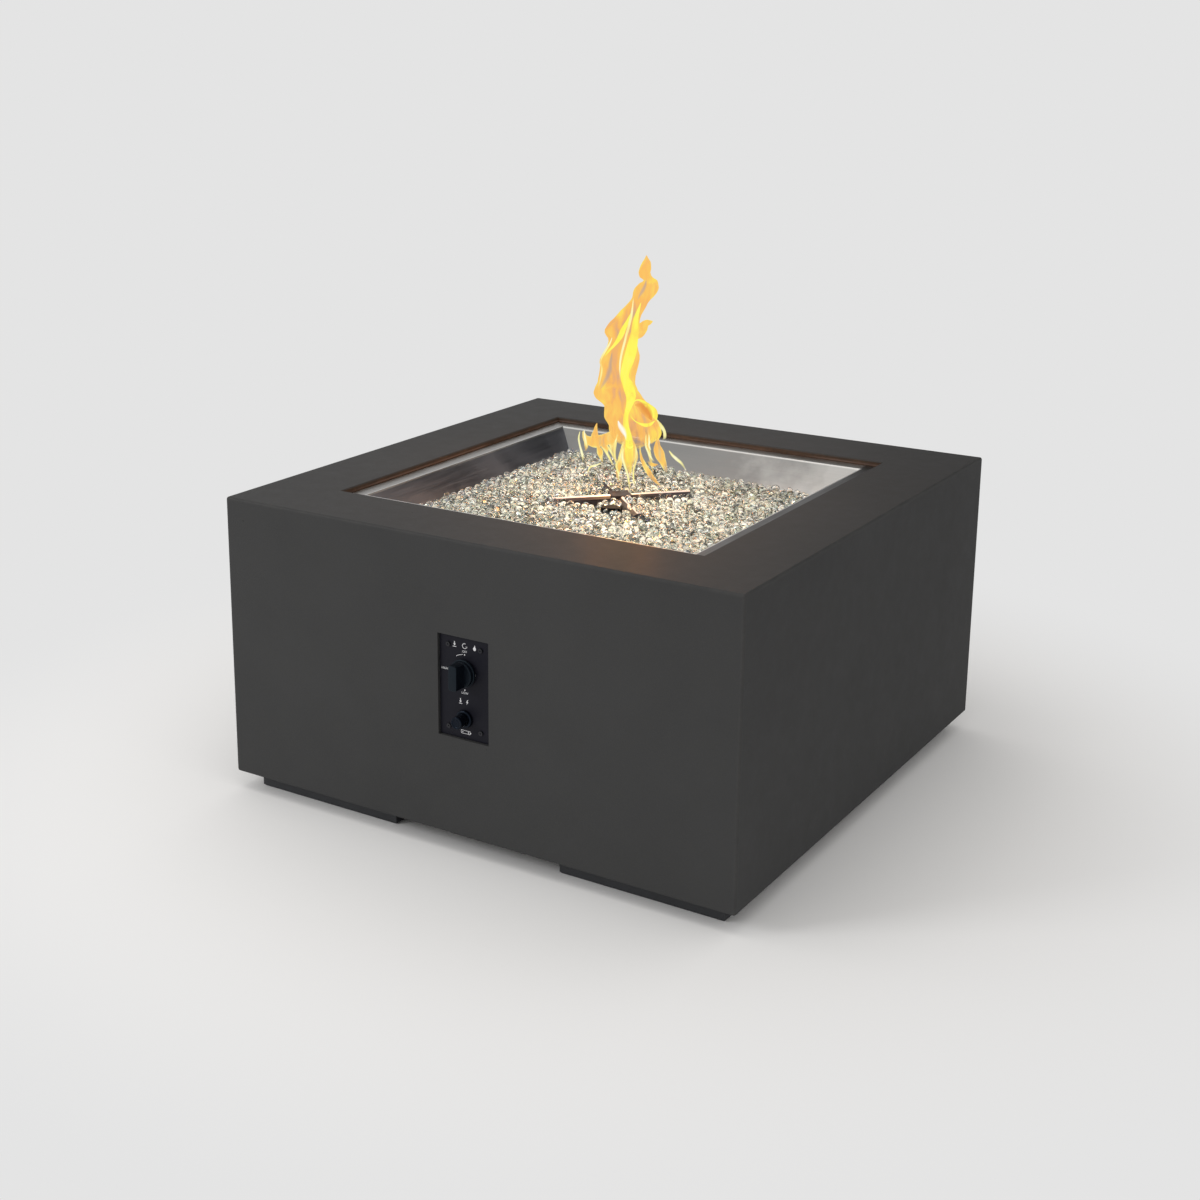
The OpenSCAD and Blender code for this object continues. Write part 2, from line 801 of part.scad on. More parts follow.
module bracket_screws() {
  low = sheet_t + small_nut_h + screw_tail;
  color("#8d9094") translate([0, 0, pan_floor_z]) at_bracket()
    for (s = [-1, 1]) translate([s * bracket_screw_at, 0, 0]) {
    translate([0, 0, -low]) cylinder(r = screw_r, h = low + bracket_t);
    translate([0, 0, bracket_t]) cylinder(r = screw_head_r, h = screw_head_h);
  }
}

module bracket_nuts() {
  color("#8d9094") translate([0, 0, pan_floor_z - sheet_t - small_nut_h]) at_bracket()
    for (s = [-1, 1]) translate([s * bracket_screw_at, 0, 0]) difference() {
      cylinder(r = screw_head_r, h = small_nut_h, $fn = 6);
      translate([0, 0, -1]) cylinder(r = screw_r + seat_gap, h = small_nut_h + 2);
    }
}

module spark_electrode() {
  color("#8d9094") translate([0, 0, pan_floor_z]) at_bracket()
    translate([spark_along, 0, -insulator_drop - electrode_tail])
    cylinder(r = electrode_r, h = electrode_tail + insulator_drop + burner_rise + electrode_tip);
}

module electrode_insulator() {
  color("#ece8de") translate([0, 0, pan_floor_z]) at_bracket()
    translate([spark_along, 0, -insulator_drop]) difference() {
    cylinder(r = insulator_r, h = insulator_drop + burner_rise);
    translate([0, 0, -1]) cylinder(r = electrode_r + seat_gap, h = insulator_drop + burner_rise + 2);
  }
}

module thermocouple_probe() {
  color("#b87a4b") translate([0, 0, pan_floor_z]) at_bracket() translate([probe_along, 0, -probe_drop]) {
    cylinder(r = probe_r, h = probe_drop + burner_rise + probe_up);
    translate([0, 0, probe_drop + burner_rise + probe_up])
      cylinder(r1 = probe_r, r2 = probe_r / 2, h = probe_tip);
  }
}

function bracket_point(along) =
  let (c = cos(pilot_angle), s = sin(pilot_angle))
    [pilot_at * c - along * s, pilot_at * s + along * c, pan_floor_z];

lead_start = [0, face_y + couple_y + couple_nut_l, knob_z];
lead_end = bracket_point(probe_along) - [0, 0, probe_drop];
lead_sway = 25;
lead_out = 190;
lead_rise = 90;
lead_path = curve(
  lead_start, lead_start + [lead_sway, lead_out, 0], lead_end - [0, 0, lead_rise], lead_end, 24
);

module thermocouple_lead() {
  color("#b87a4b") tube(lead_path, [for (p = lead_path) lead_r], 8, [1, 0, 0]);
}

wire_start = [0, face_y + barrel_l + terminal_l, igniter_z];
wire_end = bracket_point(spark_along) - [0, 0, insulator_drop + electrode_tail];
wire_out = 200;
wire_rise = 110;
wire_path = curve(
  wire_start, wire_start + [0, wire_out, 0], wire_end - [0, 0, wire_rise], wire_end, 24
);

module ignition_wire() {
  color("#2b2c2e") tube(wire_path, [for (p = wire_path) wire_r], 8, [1, 0, 0]);
}

// Fire glass: a crowned bed with a pebbled top, cut clear of what stands in it

function glass_noise(i, j) = let (n = sin(i * 127.1 + j * 311.7) * 43758.5453) n - floor(n);

// The bed's places run from -1 to 1 across the pan, and its edge follows the pan's walls
function glass_edge(u) = glass_edge_h - glass_tilt * u;

function glass_reach(u) = glass_half + glass_edge(u) * pan_slope;

function glass_level(u, v) = glass_z + glass_edge(u) + glass_crown * min(1, 2 - 2 * max(abs(u), abs(v)));

function glass_spot(u, v, rise) = [u * glass_reach(u), v * glass_reach(u), glass_level(u, v) + rise];

module glass_bed() {
  n = glass_cells;
  row = n + 1;
  at = function(i) 2 * i / n - 1;
  corners = [for (j = [0 : n], i = [0 : n])
    let (dip = i * j * (n - i) * (n - j) > 0 ? glass_bump * 0.4 : 0)
    glass_spot(at(i), at(j), -dip * glass_noise(i, j))];
  peaks = [for (j = [0 : n - 1], i = [0 : n - 1])
    glass_spot(
      at(i + 0.3 + 0.4 * glass_noise(j, i + 7)), at(j + 0.3 + 0.4 * glass_noise(i + 3, j)),
      glass_bump * (0.5 + 0.5 * glass_noise(i + 11, j + 5))
    )];
  first_peak = len(corners);
  base = first_peak + len(peaks);
  floor_corners = [for (p = [[-1, -1], [1, -1], [1, 1], [-1, 1]])
    [p.x * glass_half, p.y * glass_half, glass_z]];
  polyhedron(concat(corners, peaks, floor_corners), concat(
    [for (j = [0 : n - 1], i = [0 : n - 1])
      let (a = j * row + i, b = a + 1, c = b + row, d = a + row, m = first_peak + j * n + i)
      each [[a, m, b], [b, m, c], [c, m, d], [d, m, a]]],
    [for (i = [0 : n - 1]) each [
      [base, i, i + 1],
      [base + 1, (i + 1) * row - 1, (i + 2) * row - 1],
      [base + 2, n * row + n - i, n * row + n - i - 1],
      [base + 3, (n - i) * row, (n - i - 1) * row]
    ]],
    [[base, n, base + 1], [base + 1, row * row - 1, base + 2],
    [base + 2, n * row, base + 3], [base + 3, 0, base]],
    [[base, base + 1, base + 2], [base, base + 2, base + 3]]
  ));
}

module fire_glass() {
  gap = 2 * free_gap;
  color("#c9cdbf") difference() {
    glass_bed();
    at_arms() hull() translate([0, 0, arm_z - gap])
      arm_prism(arm_w + 2 * gap, arm_h + glass_cut_h, 1, arm_reach + gap);
    hull() translate([0, 0, hub_z - gap]) rotate(arm_turn + arm_step / 2)
      cylinder(r = (hub_apothem + gap) / cos(180 / arm_count), h = hub_h + glass_cut_h, $fn = arm_count);
    hull() translate([0, 0, pan_floor_z]) cylinder(r = locknut_r + gap, h = locknut_h + gap, $fn = 6);
    hull() translate([0, 0, pan_floor_z]) cylinder(r = pipe_r + gap, h = burner_rise, $fn = 24);
    translate([0, 0, pan_floor_z]) at_bracket() {
      hull() translate([-bracket_l / 2 - gap, -bracket_w / 2 - gap, 0])
        cube([bracket_l + 2 * gap, bracket_w + 2 * gap, bracket_t + screw_head_h + gap]);
      hull() translate([-hood_l / 2 - gap, -hood_w / 2 - gap, 0])
        cube([hood_l + 2 * gap, hood_w + 2 * gap, hood_h + glass_cut_h]);
    }
  }
}

// Flame: a swaying column over the hub, and a lick over each arm, built of level rings

function level_ring(x, y, z, r, sides) =
  [for (k = [0 : sides - 1]) [x + r * cos(360 * k / sides), y + r * sin(360 * k / sides), z]];

// A solid of level rings, each given as x, y, z and radius
module level_solid(rings, sides) {
  points = [for (g = rings) each level_ring(g[0], g[1], g[2], g[3], sides)];
  last = (len(rings) - 1) * sides;
  polyhedron(points, concat(
    side_faces(len(rings), sides, 0, true),
    [for (k = [1 : sides - 2]) [0, k + 1, k]],
    [for (k = [1 : sides - 2]) [last, last + k, last + k + 1]]
  ));
}

module flame_column() {
  translate([0, 0, flame_foot_z]) rotate(flame_turn) scale([1, flame_thickness, 1])
    level_solid([for (g = flame_shape) [g[1], 0, flame_h * g[0], flame_w * g[2]]], flame_sides);
}

module flame_lick(h) {
  level_solid([for (i = [0 : lick_rings]) let (t = i / lick_rings)
    [lick_lean * sin(150 * t), lick_sway * sin(220 * t), h * t,
      lick_w / 2 * (0.5 + t) * pow(1 - t, 0.8) + lick_tip]], lick_sides);
}

module flame() {
  color("#ffb13d") {
    flame_column();
    for (k = [0 : arm_count - 1]) rotate(arm_turn + k * arm_step)
      translate([lick_at, 0, arm_top_z + free_gap]) flame_lick(lick_h + lick_h_step * (k * 3 % arm_count));
  }
}

// Control panel

module flat_head_screw(r, head_r, head_h, l) {
  y_rod(r, l);
  rotate([-90, 0, 0]) cylinder(r1 = head_r, r2 = r, h = head_h);
}

module control_panel() {
  color("#1c1d22") difference() {
    translate([-panel_w / 2, face_y, panel_z - panel_h / 2]) cube([panel_w, panel_t, panel_h]);
    at_panel_screws() translate([0, -1, 0]) y_rod(screw_r + free_gap, panel_t + 2);
    at_knob() {
      translate([0, -1, 0]) y_rod(stem_r + drop_gap, panel_t + 2);
      for (s = [-1, 1]) translate([s * valve_screw_at, 0, 0]) {
        translate([0, -1, 0]) y_rod(screw_r + run_gap, panel_t + 2);
        rotate([-90, 0, 0]) cylinder(r1 = screw_head_r + run_gap, r2 = screw_r + run_gap, h = valve_head_h);
      }
    }
    at_igniter() translate([0, -1, 0]) y_rod(barrel_r + run_gap, panel_t + 2);
  }
}

module panel_screws() {
  color("#2a2b30") at_panel_screws() difference() {
    union() {
      y_rod(screw_r, panel_t + panel_insert_l - panel_insert_back);
      translate([0, -screw_head_h, 0]) y_rod(screw_head_r, screw_head_h);
    }
    translate([0, -screw_head_h - 1, 0]) y_hex(screw_r * 0.6, screw_socket_l + 1);
  }
}

module panel_inserts() {
  color("#a8843f") at_panel_screws() translate([0, panel_t, 0]) difference() {
    y_rod(panel_insert_r, panel_insert_l);
    translate([0, -1, 0]) y_rod(screw_r + seat_gap, panel_insert_l);
  }
}

// Gas valve

module gas_valve_body() {
  color("#a9adb2") at_knob() difference() {
    union() {
      translate([-valve_w / 2, panel_t, -valve_h / 2]) cube([valve_w, valve_l, valve_h]);
      translate([-valve_flange_w / 2, panel_t, -valve_flange_h / 2])
        cube([valve_flange_w, valve_flange_t, valve_flange_h]);
      translate([inlet_x, port_y, 0]) rotate([0, 90, 0]) cylinder(r = boss_r, h = boss_l + 2);
      translate([0, port_y, valve_h / 2 - 1]) cylinder(r = hose_r, h = boss_l + 1);
    }
    translate([0, panel_t - 1, 0]) y_rod(stem_r + run_gap, bearing_l + 2);
    translate([0, cavity_y, 0]) y_rod(cavity_r, valve_l);
    translate([inlet_x - 1, port_y, 0]) rotate([0, 90, 0])
      cylinder(r = inlet_thread_r + run_gap, h = inlet_seat + 1);
    translate([inlet_x, port_y, 0]) rotate([0, 90, 0]) cylinder(r = gas_bore_r, h = -inlet_x);
    translate([0, port_y, 0]) cylinder(r = gas_bore_r, h = valve_h / 2 + boss_l + 1);
    for (s = [-1, 1]) translate([s * valve_screw_at, panel_t - 1, 0])
      y_rod(screw_r + seat_gap, valve_flange_t + 2);
  }
}

module valve_screws() {
  color("#2a2b30") at_knob() for (s = [-1, 1]) translate([s * valve_screw_at, 0, 0])
    flat_head_screw(screw_r, screw_head_r, valve_head_h, panel_t + valve_flange_t + screw_tail / 2);
}

module magnet_unit() {
  color("#b08d4a") at_knob() difference() {
    union() {
      translate([0, plug_y, 0]) y_rod(cavity_r - seat_gap, plug_l);
      translate([0, valve_end, 0]) y_hex(magnet_hex_r, magnet_hex_h);
      translate([0, valve_end, 0]) y_rod(magnet_r, magnet_hex_h + magnet_l);
    }
    translate([0, plug_y - 1, 0]) y_rod(rod_r + run_gap, guide_l + 1);
  }
}

module thermocouple_nut() {
  color("#b08d4a") at_knob() translate([0, couple_y, 0]) y_hex(couple_nut_r, couple_nut_l);
}

module gas_inlet_elbow() {
  bore_r = inlet_thread_r - inlet_wall;
  color("#b08d4a") at_knob() translate([0, port_y, 0]) difference() {
    union() {
      translate([elbow_x, 0, 0]) rotate([0, 90, 0])
        cylinder(r = inlet_thread_r, h = inlet_x + inlet_seat - elbow_x - free_gap);
      translate([elbow_x, 0, 0]) rotate([0, 90, 0])
        cylinder(r = boss_r - 1, h = inlet_x - elbow_x - free_gap);
      translate([elbow_x, 0, -spigot_top]) cylinder(r = elbow_body_r, h = spigot_top + elbow_body_r + 1);
      translate([elbow_x, 0, -spigot_top - spigot_l]) cylinder(r = spigot_r, h = spigot_l + 1);
      translate([elbow_x, 0, -spigot_top - spigot_l - flare_l])
        cylinder(r1 = bore_r + 1, r2 = spigot_r, h = flare_l);
    }
    translate([elbow_x, 0, 0]) rotate([0, 90, 0])
      cylinder(r = bore_r, h = inlet_x + inlet_seat - elbow_x + 1);
    translate([elbow_x, 0, -spigot_top - spigot_l - flare_l - 1])
      cylinder(r = bore_r, h = spigot_top + spigot_l + flare_l + 1);
  }
}

// Stem: a D-shaped end for the knob, and a flange that the valve traps
module valve_stem() {
  tip = -knob_back - knob_bore_l + knob_gap;
  color("#b08d4a") at_knob() difference() {
    union() {
      translate([0, tip, 0]) y_rod(stem_r, cavity_y + free_gap - tip + 1);
      translate([0, cavity_y + free_gap, 0]) y_rod(stem_flange_r, stem_flange_t);
    }
    translate([-stem_r, tip - 1, stem_flat]) cube([2 * stem_r, -tip - knob_back + 1, stem_r]);
  }
}

module valve_plunger() {
  color("#8d9094") at_knob() {
    translate([0, plunger_y, 0]) y_rod(plunger_r, plunger_t);
    translate([0, rod_y - 1, 0]) y_rod(rod_r, rod_end - rod_y + 1);
  }
}

stem_spring_path = spring_path(
  rod_y + stem_spring_wire + free_gap, plug_y - rod_y - 2 * stem_spring_wire - 2 * free_gap,
  stem_spring_r, stem_spring_turns
);
echo(str("stem spring least gap ", least_turn_gap(stem_spring_path, stem_spring_wire), " mm"));

module stem_spring() {
  color("#c3c5c7") at_knob() spring(stem_spring_path, stem_spring_wire);
}

// Knob: a skirt and a round body cut away on both sides to leave a grip bar, pointing down at rest
module control_knob() {
  cut_l = knob_l - knob_shoulder;
  color("#141519") at_knob() translate([0, -knob_back - knob_l, 0]) difference() {
    union() {
      translate([0, knob_l - knob_skirt_h, 0]) y_rod(knob_d / 2, knob_skirt_h);
      translate([0, knob_chamfer, 0]) y_rod(knob_body_r, knob_l - knob_chamfer - 1);
      rotate([-90, 0, 0]) cylinder(r1 = knob_body_r - knob_chamfer, r2 = knob_body_r, h = knob_chamfer);
    }
    for (s = [-1, 1]) translate([s * (knob_grip_w / 2 + knob_d / 2), cut_l / 2 - 1, 0])
      cube([knob_d, cut_l + 2, 2 * knob_d], center = true);
    difference() {
      translate([0, knob_l - knob_bore_l, 0]) y_rod(stem_r + seat_gap, knob_bore_l + 1);
      translate([-knob_d / 2, 0, stem_flat + seat_gap]) cube([knob_d, knob_l + 2, knob_d]);
    }
    translate([-notch_w / 2, -1, -knob_d]) cube([notch_w, notch_d + 1, knob_d - knob_body_r * 0.35]);
  }
}

// Igniter

module igniter_barrel() {
  color("#1a1b1f") at_igniter() difference() {
    union() {
      translate([0, -collar_t, 0]) y_rod(collar_r, collar_t);
      y_rod(barrel_r, barrel_l);
    }
    translate([0, -collar_t - 1, 0]) y_rod(button_r + run_gap, collar_t + shoulder_y + 2);
    translate([0, shoulder_y, 0]) y_rod(barrel_bore_r, barrel_l - barrel_end_t - shoulder_y);
    for (s = [-1, 1]) translate([s * terminal_at, barrel_l - barrel_end_t / 2, 0])
      cube([terminal_t + 2 * seat_gap, barrel_end_t + 2, terminal_w + 2 * seat_gap], center = true);
  }
}

module igniter_nut() {
  color("#1a1b1f") at_igniter() translate([0, panel_t, 0]) difference() {
    y_hex(nut_r, nut_t);
    translate([0, -1, 0]) y_rod(barrel_r + run_gap, nut_t + 2);
  }
}

module igniter_button() {
  flange_y = shoulder_y + free_gap;
  color("#141519") at_igniter() difference() {
    union() {
      translate([0, -button_l, 0]) rotate([-90, 0, 0])
        cylinder(r1 = button_r - button_chamfer, r2 = button_r, h = button_chamfer);
      translate([0, button_chamfer - button_l, 0]) y_rod(button_r, button_l - button_chamfer + flange_y + 1);
      translate([0, flange_y, 0]) y_rod(button_flange_r, button_flange_t);
    }
    translate([0, cup_y, 0]) y_rod(cup_r, flange_y + button_flange_t - cup_y + 1);
  }
}

button_spring_path = spring_path(
  cup_y + button_spring_wire + free_gap, battery_y - cup_y - 2 * button_spring_wire - 2 * free_gap,
  button_spring_r, button_spring_turns
);
echo(str("button spring least gap ", least_turn_gap(button_spring_path, button_spring_wire), " mm"));

module igniter_spring() {
  color("#c3c5c7") at_igniter() spring(button_spring_path, button_spring_wire);
}

module igniter_battery() {
  color("#b98b3a") at_igniter() {
    translate([0, battery_y + battery_pip_l, 0])
      y_rod(battery_r, barrel_l - barrel_end_t - battery_y - battery_pip_l - free_gap);
    translate([0, battery_y, 0]) y_rod(battery_r * 0.38, battery_pip_l + 1);
  }
}

module igniter_terminals() {
  color("#c9a24a") at_igniter() for (s = [-1, 1])
    translate([s * terminal_at - terminal_t / 2, barrel_l - barrel_end_t, -terminal_w / 2])
      cube([terminal_t, terminal_l, terminal_w]);
}

concrete_shell();
corner_foot(-1, -1);  // foot_front_left
corner_foot(1, -1);  // foot_front_right
corner_foot(-1, 1);  // foot_rear_left
corner_foot(1, 1);  // foot_rear_right
foot_bolts();
foot_inserts();
burner_pan();
burner_hub();
burner_arms();
burner_end_caps();
burner_nipple();
burner_locknuts();
air_mixer();
gas_orifice();
burner_elbow();
gas_hose();
hose_nuts();
ignition_bracket();
pilot_hood();
bracket_screws();
bracket_nuts();
spark_electrode();
electrode_insulator();
thermocouple_probe();
thermocouple_lead();
ignition_wire();
fire_glass();
flame();
control_panel();
panel_screws();
panel_inserts();
gas_valve_body();
valve_screws();
magnet_unit();
thermocouple_nut();
gas_inlet_elbow();
valve_stem();
valve_plunger();
stem_spring();
control_knob();
igniter_barrel();
igniter_nut();
igniter_button();
igniter_spring();
igniter_battery();
igniter_terminals();
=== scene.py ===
# %% [markdown]
# # A square fire pit table
# The real table is a hollow block of charcoal concrete on four low feet. A stainless bowl hangs in its
# top, filled with drops of clear glass round a cross of gas pipes, and a small black panel in front carries
# the gas knob and the igniter button. The solids come with their sizes and joints. This lesson gives
# them surfaces, and models again what a plain solid can't show: the glass, the fire and the controls.

# %% Load the solids
import math
import random

import bmesh
import bpy
from mathutils import Matrix, Vector, noise


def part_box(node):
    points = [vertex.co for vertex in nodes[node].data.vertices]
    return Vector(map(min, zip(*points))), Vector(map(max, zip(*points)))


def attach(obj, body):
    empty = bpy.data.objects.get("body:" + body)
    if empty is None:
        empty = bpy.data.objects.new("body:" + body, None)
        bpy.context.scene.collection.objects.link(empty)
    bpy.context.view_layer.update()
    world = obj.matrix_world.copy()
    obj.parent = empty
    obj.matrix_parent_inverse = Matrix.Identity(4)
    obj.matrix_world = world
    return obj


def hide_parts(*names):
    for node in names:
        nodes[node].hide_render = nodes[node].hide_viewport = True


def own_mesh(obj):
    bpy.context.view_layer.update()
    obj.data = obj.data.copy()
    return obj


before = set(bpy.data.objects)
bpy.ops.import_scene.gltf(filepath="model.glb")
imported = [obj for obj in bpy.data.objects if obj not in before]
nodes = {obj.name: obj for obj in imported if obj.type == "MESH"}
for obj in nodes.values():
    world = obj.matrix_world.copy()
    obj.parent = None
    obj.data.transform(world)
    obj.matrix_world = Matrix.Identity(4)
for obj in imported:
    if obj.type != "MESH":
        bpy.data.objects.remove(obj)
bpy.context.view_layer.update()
scene = bpy.context.scene
MM = 0.001

# %% [markdown]
# ## The camera
# The table was seen from its front right corner, a little above the top. A lens is set by its length and
# the sensor's width, and shift slides the picture sideways without turning the camera, so that the
# table's upright edges keep their lean. The camera comes first because everything is judged through it.

# %% Camera
view_azimuth = math.radians(33.235)
view_elevation = math.radians(14.71)
towards_camera = Vector((
    math.sin(view_azimuth) * math.cos(view_elevation),
    -math.cos(view_azimuth) * math.cos(view_elevation),
    math.sin(view_elevation),
))
lens = bpy.data.cameras.new("corner_view")
lens.sensor_width = 36.0
lens.lens = 54.095
lens.shift_x = 0.06506
lens.shift_y = -0.09398
camera = bpy.data.objects.new("corner_view", lens)
scene.collection.objects.link(camera)
camera.location = (1.4493, -2.5091, 1.2383)
camera.rotation_mode = "QUATERNION"
camera.rotation_quaternion = (-towards_camera).to_track_quat("-Z", "Y")
scene.camera = camera
scene.view_settings.view_transform = "Standard"
print("camera at", [round(v, 3) for v in camera.location])

# %% [markdown]
# ## Helpers for shader nodes
# A material is a small graph. Adding a node, setting its options and wiring its sockets is always the
# same three steps, so one helper does them: a socket is given either a value or another node's output.
# Sums come up all the time, so the common ones have short names of their own.

# %% Node helpers
def fill(tree, made, sockets):
    """Gives a node's inputs a value or another node's output each. A colour gets its alpha of 1 here."""
    for socket, value in sockets.items():
        into = made.inputs[socket]
        if isinstance(value, bpy.types.NodeSocket):
            tree.links.new(value, into)
        elif into.type == "RGBA":
            into.default_value = (*value, 1.0)
        else:
            into.default_value = value


def wire(tree, kind, sockets=None, **options):
    """Adds one shader node. Options are its settings, sockets its inputs."""
    made = tree.nodes.new("ShaderNode" + kind)
    for option, value in options.items():
        setattr(made, option, value)
    fill(tree, made, sockets or {})
    return made


def calc(tree, operation, first, second=0.0, clamp=False):
    return wire(tree, "Math", {0: first, 1: second}, operation=operation, use_clamp=clamp).outputs[0]


def times(tree, first, second, clamp=False):
    return calc(tree, "MULTIPLY", first, second, clamp)


def plus(tree, first, second, clamp=False):
    return calc(tree, "ADD", first, second, clamp)


def minus(tree, first, second, clamp=False):
    return calc(tree, "SUBTRACT", first, second, clamp)


def size_of(tree, value):
    return calc(tree, "ABSOLUTE", value)


def remap(tree, value, low, high, new_low=0.0, new_high=1.0):
    sockets = {"Value": value, "From Min": low, "From Max": high, "To Min": new_low, "To Max": new_high}
    return wire(tree, "MapRange", sockets).outputs["Result"]


print("node helpers ready")

# %% [markdown]
# Patterns need a place to hang on and a colour to give. Object coordinates are the place: they stay with
# the piece when it moves. Colours are three numbers everywhere in this lesson.

# %% Places, patterns and colours
def object_place(tree, scale=None):
    """Object coordinates, stretched by a Mapping node where a pattern needs it."""
    place = wire(tree, "TexCoord").outputs["Object"]
    if scale is None:
        return place
    return wire(tree, "Mapping", {"Vector": place, "Scale": scale}).outputs[0]


def axes_of(tree, vector):
    """The X, Y and Z of a vector, each by itself."""
    return wire(tree, "SeparateXYZ", {0: vector}).outputs


def from_middle(tree):
    """How far a point lies from the upright line through the middle of the table."""
    flat = object_place(tree, (1.0, 1.0, 0.0))
    return wire(tree, "VectorMath", {0: flat}, operation="LENGTH").outputs["Value"]


def noise_at(tree, place, scale, detail, distortion=0.0):
    sockets = {"Vector": place, "Scale": scale, "Detail": detail, "Distortion": distortion}
    return wire(tree, "TexNoise", sockets).outputs[0]


def mix_colour(tree, share, first, second):
    return wire(tree, "Mix", {0: share, 6: first, 7: second}, data_type="RGBA").outputs[2]


def ramp(tree, value, stops):
    """A colour ramp: stops are (place from 0 to 1, colour) pairs."""
    made = wire(tree, "ValToRGB", {"Fac": value})
    row = made.color_ramp.elements
    while len(row) < len(stops):
        row.new(1.0)
    for element, (place, colour) in zip(row, stops):
        element.position = place
        element.color = (*colour, 1.0)
    return made.outputs["Color"]


def grey(level):
    return (level, level, level)


print("pattern helpers ready")

# %% [markdown]
# ## Floor and air
# A studio picture like this has one even pale tone behind the object. The floor is lit like any floor
# near the table, so that it keeps the table's shadow, and further out it fades to the plain backdrop
# tone. Rays that look at the floor or the air directly, in a mirror or through glass see that tone, and
# all other rays see a softer sky that only lights.

# %% Air
backdrop = 0.776
sky_strength = 0.68
sky_colour = (1.0, 0.985, 0.965)


def sees_backdrop(tree):
    rays = wire(tree, "LightPath").outputs
    direct = calc(tree, "MAXIMUM", rays["Is Camera Ray"], rays["Is Glossy Ray"])
    return calc(tree, "MAXIMUM", direct, rays["Is Transmission Ray"])


def mix_shader(tree, share, first, second):
    return wire(tree, "MixShader", {0: share, 1: first.outputs[0], 2: second.outputs[0]}).outputs[0]


air = bpy.data.worlds.new("studio_air")
scene.world = air
air.use_nodes = True
tree = air.node_tree
tree.nodes.clear()
seen_air = wire(tree, "Background", {"Color": grey(backdrop), "Strength": 1.0})
lit_air = wire(tree, "Background", {"Color": sky_colour, "Strength": sky_strength})
wire(tree, "OutputWorld", {"Surface": mix_shader(tree, sees_backdrop(tree), lit_air, seen_air)})
print("air: backdrop tone", backdrop, "and sky strength", sky_strength)

# %% Floor
floor_tone = 0.99
floor_reach = 30.0
fade_start = 0.62
fade_end = 1.35


def flat_sheet(name, place, paint):
    """A square of the stage. A matrix gives it its size and place, in its mesh."""
    bm = bmesh.new()
    bmesh.ops.create_grid(bm, x_segments=1, y_segments=1, size=1.0)
    bmesh.ops.transform(bm, matrix=place, verts=bm.verts)
    mesh = bpy.data.meshes.new(name)
    bm.to_mesh(mesh)
    bm.free()
    mesh.materials.append(paint)
    sheet = bpy.data.objects.new(name, mesh)
    scene.collection.objects.link(sheet)
    return sheet


paint = bpy.data.materials.new("pale_floor")
paint.use_nodes = True
tree = paint.node_tree
tree.nodes.clear()
near = wire(tree, "BsdfDiffuse", {"Color": grey(floor_tone)})
far = wire(tree, "Emission", {"Color": grey(backdrop), "Strength": 1.0})
fade_range = {"Value": from_middle(tree), "From Min": fade_start, "From Max": fade_end}
fade = wire(tree, "MapRange", fade_range, interpolation_type="SMOOTHSTEP").outputs["Result"]
shown = times(tree, fade, sees_backdrop(tree))
wire(tree, "OutputMaterial", {"Surface": mix_shader(tree, shown, near, far)})
floor = flat_sheet("floor", Matrix.Diagonal((floor_reach, floor_reach, 1.0, 1.0)), paint)
print("floor fades to the backdrop from", fade_start, "to", fade_end, "m")

# %% [markdown]
# ## Lamps
# Two square lamps light the concrete softly, as softboxes do in a studio. Glass sparkles only where it
# mirrors something small and bright, so a narrow spot reaches into the bowl and nothing else.

# %% Studio lamps
table_middle = Vector((0, 0, 0.35))
glass_middle = Vector((0, 0, 0.45))
spot_place = Vector((0.6, -1.3, 3.0))
spot_reach = 0.27


def hang_lamp(name, kind, place, watts, colour, aim=None):
    """A lamp that never shows in the picture itself, and faces its aim."""
    lamp = bpy.data.lights.new(name, kind)
    lamp.energy = watts
    lamp.color = colour
    stand = bpy.data.objects.new(name, lamp)
    scene.collection.objects.link(stand)
    stand.location = place
    stand.visible_camera = False
    if aim:
        stand.rotation_mode = "QUATERNION"
        stand.rotation_quaternion = (aim - Vector(place)).to_track_quat("-Z", "Y")
    return lamp


def softbox(name, place, width, watts, colour):
    box = hang_lamp(name, "AREA", place, watts, colour, table_middle)
    box.shape = "SQUARE"
    box.size = width


softbox("overhead_box", place=(-0.2, -0.8, 3.0), width=1.4, watts=8.0, colour=(1.0, 0.97, 0.93))
softbox("front_left_box", place=(-2.3, -3.0, 1.9), width=1.2, watts=38.0, colour=(1.0, 1.0, 1.0))
spot = hang_lamp("bowl_spot", "SPOT", spot_place, watts=106.0, colour=(0.95, 0.99, 1.0), aim=glass_middle)
spot.spot_size = 2 * math.atan(spot_reach / (glass_middle - spot_place).length)
spot.spot_blend = 0.3
spot.shadow_soft_size = 0.12
print("lamps:", [lamp.name for lamp in bpy.data.lights])

# %% [markdown]
# The fire lights its surroundings too. A glowing skin makes a noisy picture, so two small balls of light
# inside the fire do it. They will hang on the fire and sink with it, and one that lies lower than the
# glass gives no light, which its own small node tree sees to.

# %% Lamps in the fire
lit_above = 0.502


def fire_lamp(name, height, radius, watts, colour):
    lamp = hang_lamp(name, "POINT", (0, 0, height), watts, colour)
    lamp.shadow_soft_size = radius
    lamp.use_nodes = True
    tree = lamp.node_tree
    tree.nodes.clear()
    level = axes_of(tree, wire(tree, "NewGeometry").outputs["Position"])["Z"]
    glow = wire(tree, "Emission", {"Strength": calc(tree, "GREATER_THAN", level, lit_above)})
    wire(tree, "OutputLight", {"Surface": glow.outputs[0]})


